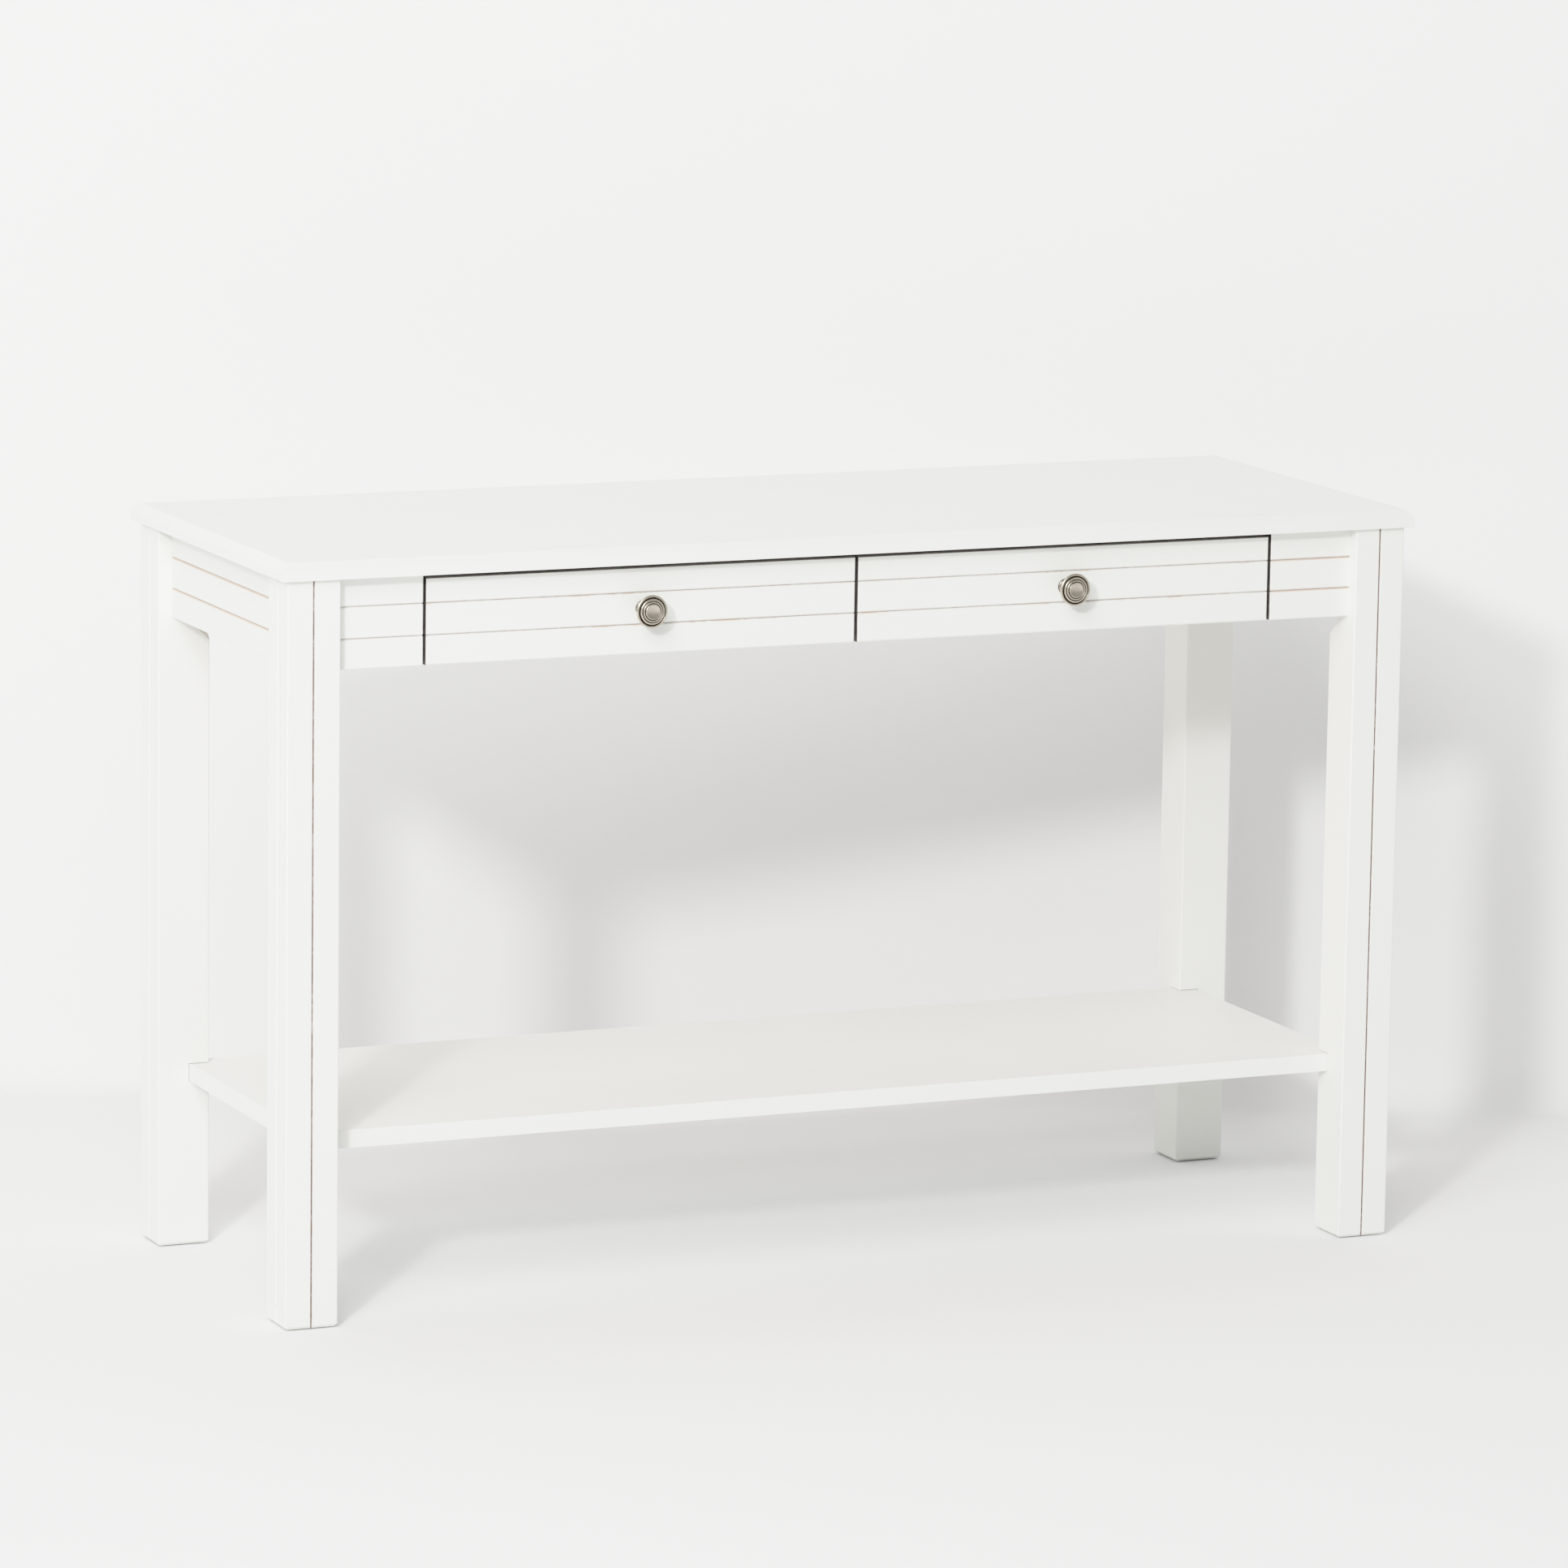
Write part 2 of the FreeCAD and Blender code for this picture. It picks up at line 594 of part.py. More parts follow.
def roller(start, y):
    bore = AXLE_RADIUS + AXLE_RUNNING_CLEARANCE
    edge = ROLLER_EDGE_ROUND
    radius = ROLLER_RADIUS
    width = ROLLER_WIDTH
    profile = [(0, bore), (0, radius - edge), (edge, radius), (width - edge, radius),
               (width, radius - edge), (width, bore)]
    return turned(profile, runner_point(start, y, ROLLER_Z - BOX_BOTTOM), X_AXIS)


def roller_axle(base, roller_near, roller_far, y):
    """A riveted axle: from its sheet-metal base past a collar, through the roller to its head."""
    towards = 1 if roller_far > base else -1
    reach = abs(roller_far - base) + AXLE_SIDE_PLAY
    collar_start = RUNNER_SHEET
    collar_end = abs(roller_near - base) - AXLE_SIDE_PLAY
    radius = AXLE_RADIUS
    end = reach + AXLE_HEAD_THICKNESS
    profile = [(0, 0), (0, radius), (collar_start, radius), (collar_start, AXLE_COLLAR_RADIUS),
               (collar_end, AXLE_COLLAR_RADIUS), (collar_end, radius), (reach, radius),
               (reach, AXLE_HEAD_RADIUS), (end, AXLE_HEAD_RADIUS - 0.5), (end, 0)]
    start = runner_point(base, y, ROLLER_Z - BOX_BOTTOM)
    return turned(profile, start, X_AXIS * towards)


def axle_hole(base, direction, y):
    start = runner_point(base, y, ROLLER_Z - BOX_BOTTOM)
    end = start + direction * (RUNNER_SHEET + 0.01)
    return rod(start - direction * 0.01, end, AXLE_RADIUS + FIT_CLEARANCE)


def front_roller_axle():
    return roller_axle(0.0, FRONT_ROLLER_START, FRONT_ROLLER_START + ROLLER_WIDTH, FRONT_ROLLER_Y)


def rear_roller_axle():
    return roller_axle(RUNNER_SPACE, REAR_ROLLER_START + ROLLER_WIDTH, REAR_ROLLER_START, REAR_ROLLER_Y)


# ---- drawer, on the left; the right one is a mirror image ----

def drawer_front():
    length = DRAWER_OUTER_X - DRAWER_INNER_X
    board = grooved_board(length, DRAWER_FRONT_HEIGHT)
    board = soften_front(board, ["left", "right"], DRAWER_EDGE_ROUND)
    top_front = edges_where(board, lambda b: b.ZMin > DRAWER_FRONT_HEIGHT - 0.01
                            and b.YMax < 0.01 and b.XLength > 10)
    board = board.makeChamfer(DRAWER_EDGE_ROUND, top_front)
    board.translate(Vec(-DRAWER_OUTER_X, -APRON_Y, APRON_BOTTOM))
    gap = DRAWER_BOTTOM_CLEARANCE
    groove = drawer_bottom_space(gap)
    screw_hole = rod(Vec(KNOB_X, -APRON_Y - 1, KNOB_Z), Vec(KNOB_X, BOX_FRONT + 1, KNOB_Z),
                     KNOB_SCREW_RADIUS + 4 * FIT_CLEARANCE)
    return board.cut([groove, screw_hole])


def drawer_bottom_space(gap):
    """The bottom board, grown by a gap: the board itself, or the grooves that hold it."""
    tenon = DRAWER_BOTTOM_TENON
    inner_left = BOX_LEFT + DRAWER_SIDE_THICKNESS
    inner_right = BOX_RIGHT - DRAWER_SIDE_THICKNESS
    return block(inner_left - tenon - gap, inner_right + tenon + gap,
                 BOX_FRONT - tenon - gap, BOX_REAR,
                 BOX_FLOOR - DRAWER_BOTTOM_THICKNESS - gap, BOX_FLOOR + gap)


def drawer_bottom():
    return drawer_bottom_space(0)


def drawer_side_left():
    side = block(BOX_LEFT, BOX_LEFT + DRAWER_SIDE_THICKNESS, BOX_FRONT, BOX_REAR,
                 BOX_BOTTOM, BOX_TOP)
    return side.cut(drawer_bottom_space(DRAWER_BOTTOM_CLEARANCE))


def drawer_side_right():
    side = block(BOX_RIGHT - DRAWER_SIDE_THICKNESS, BOX_RIGHT, BOX_FRONT, BOX_REAR,
                 BOX_BOTTOM, BOX_TOP)
    return side.cut(drawer_bottom_space(DRAWER_BOTTOM_CLEARANCE))


def drawer_back():
    return block(BOX_LEFT + DRAWER_SIDE_THICKNESS, BOX_RIGHT - DRAWER_SIDE_THICKNESS,
                 BOX_REAR - DRAWER_SIDE_THICKNESS, BOX_REAR,
                 BOX_FLOOR + DRAWER_BOTTOM_CLEARANCE, BOX_TOP)


def drawer_dowels():
    half = DRAWER_SIDE_THICKNESS / 2
    depth_in_side = DRAWER_SIDE_THICKNESS * 2 / 3
    found = []
    for z in (BOX_FLOOR + BOX_DOWEL_LENGTH / 2, BOX_TOP - BOX_DOWEL_LENGTH / 2):
        for x in (BOX_LEFT + half, BOX_RIGHT - half):
            place = Vec(x, BOX_FRONT, z)
            found.append(dowel(place, Y_AXIS, BOX_DOWEL_RADIUS, BOX_DOWEL_LENGTH))
        reach = DRAWER_SIDE_THICKNESS - depth_in_side + BOX_DOWEL_LENGTH / 2
        for x in (BOX_LEFT + reach, BOX_RIGHT - reach):
            place = Vec(x, BOX_REAR - half, z)
            found.append(dowel(place, X_AXIS, BOX_DOWEL_RADIUS, BOX_DOWEL_LENGTH))
    return found


def knob():
    """A turned knob: flared foot, waist, and a face of stepped rings round a dished centre."""
    r = KNOB_RADIUS
    face = KNOB_LENGTH
    bead = 1.7
    back = [(0, 0), (0, 0.5 * r), (1.6, 0.5 * r), (4.5, 0.36 * r), (9.0, 0.31 * r),
            (13.5, 0.4 * r), (17.5, 0.66 * r), (20.5, 0.9 * r), (22.2, 0.985 * r)]
    rim = [(face - 4.6 + bead * (1 + math.sin(a)), r - bead + bead * math.cos(a))
           for a in (math.radians(turn) for turn in range(-60, 181, 30))]
    steps = [(face - 2.6, 0.80 * r), (face - 1.3, 0.77 * r), (face - 1.1, 0.68 * r),
             (face - 1.4, 0.64 * r), (face - 2.6, 0.62 * r), (face - 2.4, 0.58 * r),
             (face - 1.2, 0.54 * r), (face - 1.2, 0.49 * r), (face - 2.0, 0.45 * r)]
    dish = [(face - 2.0 - 1.2 * (1 - (a / 0.45) ** 2), a * r) for a in (0.36, 0.27, 0.18, 0.09, 0)]
    base = Vec(KNOB_X, -APRON_Y, KNOB_Z)
    body = turned(back + rim + steps + dish, base, -Y_AXIS)
    return body.cut(rod(base + Y_AXIS, base - Y_AXIS * (KNOB_SCREW_DEPTH + 1),
                        KNOB_SCREW_RADIUS + FIT_CLEARANCE))


def knob_screw():
    shank = APRON_THICKNESS + KNOB_SCREW_DEPTH
    head = KNOB_SCREW_HEAD_THICKNESS
    profile = [(0, 0), (0, KNOB_SCREW_HEAD_RADIUS - 1), (head / 2, KNOB_SCREW_HEAD_RADIUS),
               (head, KNOB_SCREW_HEAD_RADIUS), (head, KNOB_SCREW_RADIUS), (head + shank, KNOB_SCREW_RADIUS),
               (head + shank, 0)]
    return turned(profile, Vec(KNOB_X, BOX_FRONT + head, KNOB_Z), -Y_AXIS)


# ---- assembly ----

def drawer_nodes():
    """The left drawer's nodes by their short names."""
    screws = drawer_runner_screws()
    right_screws = [tuple(middle_mirror(shape) for shape in pair) for pair in screws]
    dowels = drawer_dowels()
    inwards = -X_AXIS
    member = drilled(drawer_runner(), screws).cut(axle_hole(RUNNER_SPACE, inwards, REAR_ROLLER_Y))
    axle = rear_roller_axle()
    rear_roller = roller(REAR_ROLLER_START, REAR_ROLLER_Y)
    return {
        "front": drilled(drawer_front(), dowels),
        "side_left": drilled(drawer_side_left(), dowels + screws),
        "side_right": drilled(drawer_side_right(), dowels + right_screws),
        "back": drilled(drawer_back(), dowels),
        "bottom": drawer_bottom(),
        "dowels": solids_of(dowels),
        "knob": knob(),
        "knob_screw": knob_screw(),
        "runner_left": member,
        "runner_right": middle_mirror(member),
        "runner_screws": solids_of(screws + right_screws),
        "roller_axles": Part.makeCompound([axle, middle_mirror(axle)]),
        "rear_roller_left": rear_roller,
        "rear_roller_right": middle_mirror(rear_roller),
    }


def middle_mirror(shape):
    """A mirror image about the upright plane through the middle of the left drawer box."""
    middle = (BOX_LEFT + BOX_RIGHT) / 2
    return shape.mirror(Vec(middle, 0, 0), X_AXIS)


def swapped(name):
    """The mirrored drawer's piece name: its left is the other's right."""
    if "left" in name:
        return name.replace("left", "right")
    return name.replace("right", "left")


def add_drawers(nodes):
    for name, shape in drawer_nodes().items():
        nodes["drawer_left_" + name] = shape
        nodes["drawer_right_" + swapped(name)] = mirror_x(shape)


def add_runners(nodes):
    """The cabinet members with their rollers, on both sides of both drawer spaces."""
    member = cabinet_runner().cut(axle_hole(0.0, X_AXIS, FRONT_ROLLER_Y))
    axle = front_roller_axle()
    wheel = roller(FRONT_ROLLER_START, FRONT_ROLLER_Y)
    screws = cabinet_runner_screws()
    member = drilled(member, screws)
    axles = []
    placed = {"left_1": lambda s: s, "left_2": middle_mirror,
              "right_1": lambda s: mirror_x(middle_mirror(s)), "right_2": mirror_x}
    all_screws = []
    for name, place in placed.items():
        nodes["cabinet_runner_" + name] = place(member)
        nodes["front_roller_" + name] = place(wheel)
        axles.append(place(axle))
        all_screws += [tuple(place(shape) for shape in pair) for pair in screws]
    nodes["cabinet_roller_axles"] = Part.makeCompound(axles)
    nodes["cabinet_runner_screws"] = solids_of(all_screws)
    return all_screws


def add_frame(nodes):
    bolt = hanger_bolt()
    bolts = in_all_corners(bolt)
    nut = (flange_nut(bolt), flange_nut(bolt))
    glides = in_all_corners(leg_glides())
    dowels = frame_dowels()
    runner_screws = add_runners(nodes)
    corner_screws = [found for pair in corner_bracket_screws() for found in in_all_corners(pair)]
    bracket = drilled(corner_bracket(), corner_screws)
    angles = []
    screws = list(corner_screws)
    for base, inwards in angle_places():
        angle, angle_screws = angle_bracket(base, inwards)
        angles.append(drilled(angle, angle_screws))
        screws += angle_screws
    leg = drilled(leg_rear_right(), bolts + glides)
    fixed_by = screws + runner_screws + dowels
    apron = drilled(side_apron_left(), fixed_by)
    panel = drilled(front_panel_left(), fixed_by)
    divider = drilled(divider_left(), fixed_by)
    nodes.update({
        "top_panel": drilled(top_panel(), screws),
        "leg_rear_right": leg,
        "leg_rear_left": mirror_x(leg),
        "leg_front_right": mirror_y(leg),
        "leg_front_left": mirror_x(mirror_y(leg)),
        "side_apron_left": apron,
        "side_apron_right": mirror_x(apron),
        "rear_apron": drilled(rear_apron(), fixed_by),
        "front_panel_left": panel,
        "front_panel_right": mirror_x(panel),
        "front_top_rail": drilled(front_top_rail(), fixed_by),
        "divider_left": divider,
        "divider_centre": drilled(divider_centre(), fixed_by),
        "divider_right": mirror_x(divider),
        "shelf": shelf(),
        "leg_glides": solids_of(glides),
        "corner_brackets": Part.makeCompound([pair[0] for pair in in_all_corners((bracket, bracket))]),
        "hanger_bolts": solids_of(bolts),
        "flange_nuts": Part.makeCompound([pair[0] for pair in in_all_corners(nut)]),
        "angle_brackets": Part.makeCompound(angles),
        "frame_dowels": solids_of(dowels),
        "bracket_screws": solids_of(screws),
    })


def main():
    nodes = {}
    add_frame(nodes)
    add_drawers(nodes)
    os.makedirs("parts", exist_ok=True)
    for name, shape in nodes.items():
        shape.exportStep(os.path.join("parts", name + ".step"))
        state = "" if shape.isValid() else " NOT VALID"
        print(name, len(shape.Solids), round(shape.Volume), state)
    print(len(nodes), "nodes")


main()
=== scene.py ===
import json
import math

import bmesh
import bpy
from bpy.props import FloatProperty, FloatVectorProperty, IntProperty, PointerProperty
from mathutils import Matrix, Vector


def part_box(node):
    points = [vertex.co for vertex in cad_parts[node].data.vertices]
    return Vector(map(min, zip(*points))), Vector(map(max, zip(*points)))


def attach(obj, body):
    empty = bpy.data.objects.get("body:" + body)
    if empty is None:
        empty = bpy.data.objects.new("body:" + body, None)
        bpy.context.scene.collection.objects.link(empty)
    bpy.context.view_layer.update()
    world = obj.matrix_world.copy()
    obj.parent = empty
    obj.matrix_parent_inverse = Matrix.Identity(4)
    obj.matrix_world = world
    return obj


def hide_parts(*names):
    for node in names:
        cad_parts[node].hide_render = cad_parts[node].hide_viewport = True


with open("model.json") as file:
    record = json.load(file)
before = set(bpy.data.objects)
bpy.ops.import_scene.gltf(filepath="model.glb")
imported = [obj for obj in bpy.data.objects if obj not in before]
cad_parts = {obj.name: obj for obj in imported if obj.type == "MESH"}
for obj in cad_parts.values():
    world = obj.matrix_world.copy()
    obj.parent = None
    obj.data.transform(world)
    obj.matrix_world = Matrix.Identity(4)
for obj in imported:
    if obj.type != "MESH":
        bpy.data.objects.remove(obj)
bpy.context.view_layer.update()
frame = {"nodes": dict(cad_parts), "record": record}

bl_info = {
    "name": "Console Table",
    "version": (1, 0, 0),
    "blender": (4, 5, 0),
    "location": "View3D > Sidebar > Console Table",
    "description": "Finishes, knobs and fittings of a console table with two drawers",
    "category": "Object",
}

MM = 0.001

LEGS = ("leg_front_left", "leg_front_right", "leg_rear_left", "leg_rear_right")
SIDES = ("left", "right")
ROLLERS = tuple("front_roller_%s_%d" % (side, number) for side in SIDES for number in (1, 2)) + tuple(
    "drawer_%s_rear_roller_%s" % (drawer, side) for drawer in SIDES for side in SIDES)


# ---- properties ----

def colour(name, description, default):
    return FloatVectorProperty(name=name, description=description, subtype="COLOR",
                               min=0.0, max=1.0, default=default)


def share(name, description, default):
    return FloatProperty(name=name, description=description, subtype="FACTOR",
                         min=0.0, max=1.0, default=default)


def length(name, description, default):
    return FloatProperty(name=name, description=description, unit="LENGTH", default=default)


class PaintSettings(bpy.types.PropertyGroup):
    paint: colour("Paint", "The satin paint's warm white", (0.860, 0.864, 0.822))
    paint_thin: colour("Thin paint", "The paint where it lies thinner", (0.842, 0.844, 0.796))
    bare: colour("Rubbed wood", "Pink-tan wood where a groove's paint is rubbed off", (0.66, 0.45, 0.33))
    # the groove line is painted shade along the groove bottoms, partly worn wood; it also darkens the
    # pores
    deep: colour("Groove line", "The brown line at the bottom of the grooves", (0.15, 0.075, 0.062))
    # painted shade in the gaps round and above the drawers, dark as unpainted end wood
    gap_shade_raw_wood: colour("Raw edge", "Unpainted wood in the gaps round the drawers", (0.105, 0.096, 0.088))
    gloss: share("Roughness", "How dull the satin paint is", 0.40)
    groove_width: length("Groove width", "Width of the V-grooves", 3.2 * MM)
    lower_groove: length("Lower groove", "Height of the lower groove above the apron's edge", 29.2 * MM)
    upper_groove: length("Upper groove", "Height of the upper groove above the apron's edge", 60.4 * MM)


class TimberSettings(bpy.types.PropertyGroup):
    pine: colour("Pine", "Early wood of the inner frame and drawer sides", (0.72, 0.50, 0.27))
    pine_late: colour("Pine rings", "Late wood of the pine", (0.52, 0.29, 0.12))
    birch: colour("Birch", "Face of the plywood bottoms", (0.70, 0.52, 0.33))
    birch_dark: colour("Birch figure", "Darker figure of the plywood", (0.56, 0.38, 0.22))
    beech: colour("Beech", "The dowels", (0.60, 0.38, 0.22))
    beech_dark: colour("Beech flecks", "Rays in the dowels", (0.42, 0.24, 0.13))


class FittingSettings(bpy.types.PropertyGroup):
    pewter: colour("Pewter", "Bright metal of the knobs", (0.52, 0.465, 0.375))
    # patina is the tarnish in the hollows and also the painted shade towards the neck
    patina_and_neck_shade: colour("Patina", "Dark tarnish in the knobs' hollows", (0.022, 0.018, 0.014))
    zinc: colour("Zinc", "Plated brackets, bolts and screws", (0.58, 0.60, 0.62))
    epoxy: colour("White coating", "Coated steel of the runners", (0.80, 0.80, 0.77))
    nylon: colour("Nylon", "The runners' rollers", (0.83, 0.82, 0.77))
    glide: colour("Glide plastic", "The glides under the legs", (0.16, 0.115, 0.08))
    knob_steps: IntProperty(name="Knob steps", description="Faces round a knob", default=48)
    thread_pitch: length("Thread pitch", "Pitch of the hanger bolts' machine thread", 1.25 * MM)


class StageSettings(bpy.types.PropertyGroup):
    floor: colour("Backdrop", "The pale floor and wall", (0.88, 0.88, 0.878))
    wall_distance: length("Wall distance", "From the table's middle back to the wall", 0.667)
    camera_place: FloatVectorProperty(name="Camera", description="Where the camera stands",
                                      subtype="TRANSLATION", default=(-3.1492, -7.2451, 1.8588))
    camera_heading: FloatProperty(name="Heading", description="Turn of the view to the right of +Y",
                                  subtype="ANGLE", default=math.radians(23.578))
    camera_dip: FloatProperty(name="Dip", description="How far the view looks down",
                              subtype="ANGLE", default=math.radians(9.989))
    camera_roll: FloatProperty(name="Roll", description="Tilt of the camera about its view",
                               subtype="ANGLE", default=math.radians(0.828))
    view_angle: FloatProperty(name="View angle", description="The camera's angle of view",
                              subtype="ANGLE", default=math.radians(11.256))
    sky: FloatProperty(name="Fill", description="Strength of the light from all round", default=0.98)
    lamps: FloatProperty(name="Lamps", description="Scales the power of all lamps", default=1.0)
    softness: FloatProperty(name="Softness", description="How early bright tones bend towards white",
                            default=0.6)
    brightest: FloatProperty(name="Brightest", description="The scene value where the tone curve ends",
                             default=6.0)


# ---- materials ----

class Wire:
    """A socket's value: arithmetic on it adds Math nodes."""

    def __init__(self, finish, socket):
        self.finish = finish
        self.socket = socket

    def math(self, operation, *others):
        sockets = dict(enumerate((self,) + others))
        return self.finish.node("ShaderNodeMath", {"operation": operation}, sockets).out()

    def __add__(self, other):
        return self.math("ADD", other)

    def __radd__(self, other):
        return self.math("ADD", other)

    def __sub__(self, other):
        return self.math("SUBTRACT", other)

    def __rsub__(self, other):
        return self.finish.node("ShaderNodeMath", {"operation": "SUBTRACT"}, {0: other, 1: self}).out()

    def __mul__(self, other):
        return self.math("MULTIPLY", other)

    def __rmul__(self, other):
        return self.math("MULTIPLY", other)

    def __truediv__(self, other):
        return self.math("DIVIDE", other)

    def __abs__(self):
        return self.math("ABSOLUTE")

    def most(self, other):
        return self.math("MAXIMUM", other)

    def least(self, other):
        return self.math("MINIMUM", other)

    def fade(self, start, end):
        """0 up to start and 1 from end on, with a smooth change between them."""
        low, high, swapped = (start, end, False) if start < end else (end, start, True)
        sockets = {"Value": self, "From Min": low, "From Max": high,
                   "To Min": float(swapped), "To Max": float(not swapped)}
        settings = {"interpolation_type": "SMOOTHSTEP"}
        return self.finish.node("ShaderNodeMapRange", settings, sockets).out("Result")


class Node:
    """A node, as node() returns it."""

    def __init__(self, finish, made):
        self.finish = finish
        self.made = made

    def out(self, name=0):
        return Wire(self.finish, self.made.outputs[name])


class Finish:
    """One material and its nodes."""

    def __init__(self, name):
        self.material = bpy.data.materials.new(name)
        self.material.use_nodes = True
        self.tree = self.material.node_tree
        self.tree.nodes.clear()
        self.place = self.node("ShaderNodeTexCoord").out("Object")

    def node(self, kind, settings=None, sockets=None):
        """Adds a node: its settings are set first, and then its sockets are filled or linked."""
        made = self.tree.nodes.new(kind)
        for name, value in (settings or {}).items():
            setattr(made, name, value)
        for name, value in (sockets or {}).items():
            if isinstance(value, Wire):
                self.tree.links.new(value.socket, made.inputs[name])
            else:
                made.inputs[name].default_value = value
        return Node(self, made)

    def axes(self, vector=None):
        node = self.node("ShaderNodeSeparateXYZ", None, {0: vector or self.place})
        return node.out("X"), node.out("Y"), node.out("Z")

    def mapped(self, scale=(1, 1, 1), shift=(0, 0, 0)):
        sockets = {"Vector": self.place, "Location": shift, "Scale": scale}
        return self.node("ShaderNodeMapping", {"vector_type": "POINT"}, sockets).out()

    def noise(self, scale, vector=None, detail=3.0, roughness=0.55, distortion=0.0):
        sockets = {"Vector": vector or self.place, "Scale": scale, "Detail": detail,
                   "Roughness": roughness, "Distortion": distortion}
        return self.node("ShaderNodeTexNoise", None, sockets).out(0)

    def mix(self, factor, first, second):
        """A colour between two colours."""
        def filled(value):
            return value if isinstance(value, Wire) else (*value, 1.0)

        sockets = {0: factor, 6: filled(first), 7: filled(second)}
        return self.node("ShaderNodeMix", {"data_type": "RGBA"}, sockets).out(2)

    def bump(self, height, distance, strength):
        sockets = {"Height": height, "Distance": distance, "Strength": strength}
        return self.node("ShaderNodeBump", None, sockets).out("Normal")

    def surface(self, **sockets):
        """Finishes the material with the shader, whose sockets are named as in its panel."""
        named = {name.replace("_", " "): value for name, value in sockets.items()}
        shader = self.node("ShaderNodeBsdfPrincipled", None, named).out()
        self.node("ShaderNodeOutputMaterial", None, {"Surface": shader})
        return self.material


def along_grain(axis, along, across):
    """The scale of a pattern on wood whose grain runs along an axis."""
    return tuple(along if name == axis else across for name in "XYZ")


# scale of the fine pattern along and across the grain
GRAIN = (1, 30)


def groove_masks(across, depth, half, line_width=1.0):
    """Masks of one V-groove: its whole width, its lower or inner wall, and the line at its bottom,
    where shade is painted along with worn wood.

    across is the distance across the groove from its bottom line; depth is how far the surface
    lies behind the board's face."""
    inside = depth.fade(0.0, 0.15 * MM) * depth.fade(3.0 * MM, 2.6 * MM)
    whole = abs(across).fade(half, half * 0.72) * inside
    wall = across.fade(0.1 * MM, -0.2 * MM) * whole
    line = abs(across).fade(half * 0.48 * line_width, half * 0.16 * line_width) * inside
    return whole, wall, line


def painted(name, along, grooves, settings, wear=0.5, line=0.6, edges=None, pores=0.0):
    """Satin paint on a board, rubbed through in its grooves, with painted shade in the groove bottoms and
    in the gaps.

    grooves is a function that gives the masks of all grooves, and edges one that gives the masks of
    the painted shade in the gaps, dark as unpainted end wood, and of the worn arrises beside them.
    wear is how much of the grooves is rubbed, line how strong the brown line at their bottom is,
    painted shade of the crease and partly worn wood, and pores how dark the open pores are that
    show through the paint in places."""
    finish = Finish(name)
    x, y, z = finish.axes()
    stretched = finish.mapped(scale=along_grain(along, *GRAIN))
    clouds = finish.noise(4.0, detail=2.0)
    streaks = finish.noise(7.0, stretched, detail=4.0, roughness=0.6)
    peel = finish.noise(420.0, detail=2.0)
    base = finish.mix(clouds.fade(0.35, 0.68) * 0.7 + streaks * 0.3,
                      settings.paint_thin, settings.paint)
    height = streaks * 0.6 + peel * 0.25
    rough = settings.gloss + 0.05 * (clouds - 0.5) + 0.06 * (streaks - 0.5)
    if grooves:
        whole, wall, bottom = grooves(x, y, z)
        patches = finish.noise(11.0, detail=5.0, roughness=0.65)
        fine = finish.noise(260.0, detail=3.0)
        rubbed = (patches + 0.22 * (fine - 0.5)).fade(0.70 - 0.42 * wear, 0.78 - 0.42 * wear)
        tint = wall * (rubbed * 0.62 + 0.10 * wear)
        base = finish.mix(tint.least(1.0), base, settings.bare)
        broken = (patches * 0.5 + fine * 0.5).fade(0.30, 0.55)
        # painted shade along the groove bottoms, partly worn wood showing
        base = finish.mix(bottom * (0.55 + 0.45 * broken) * line, base, settings.deep)
        rough = rough + 0.25 * whole * rubbed
        height = height - whole * rubbed * 0.8 * fine
    if edges:
        # bare is painted shade in the gaps, dark as unpainted end wood; arris is real wear
        bare, arris = edges(x, y, z)
        chips = finish.noise(90.0, detail=4.0).fade(0.46, 0.60)
        base = finish.mix(arris * (0.03 + 0.25 * chips), base, settings.bare)
        # the gaps' painted shade, darker in streaks
        gap_shade_tone = finish.mix(streaks.fade(0.40, 0.65), darker(settings.gap_shade_raw_wood, 0.6), settings.gap_shade_raw_wood)
        base = finish.mix(bare, base, gap_shade_tone)
        rough = rough + 0.25 * bare
    if pores:
        dashes = finish.noise(34.0, stretched, detail=1.0)
        areas = finish.noise(6.0, finish.mapped(shift=(3.1, 1.7, 0.4)), detail=1.0).fade(0.50, 0.62)
        pore = dashes.fade(0.70, 0.77) * areas
        base = finish.mix(pore * pores, base, settings.deep)
        height = height - pore * 0.9
    normal = finish.bump(height, 0.05 * MM, 0.55)
    return finish.surface(Base_Color=base, Roughness=rough, Normal=normal)


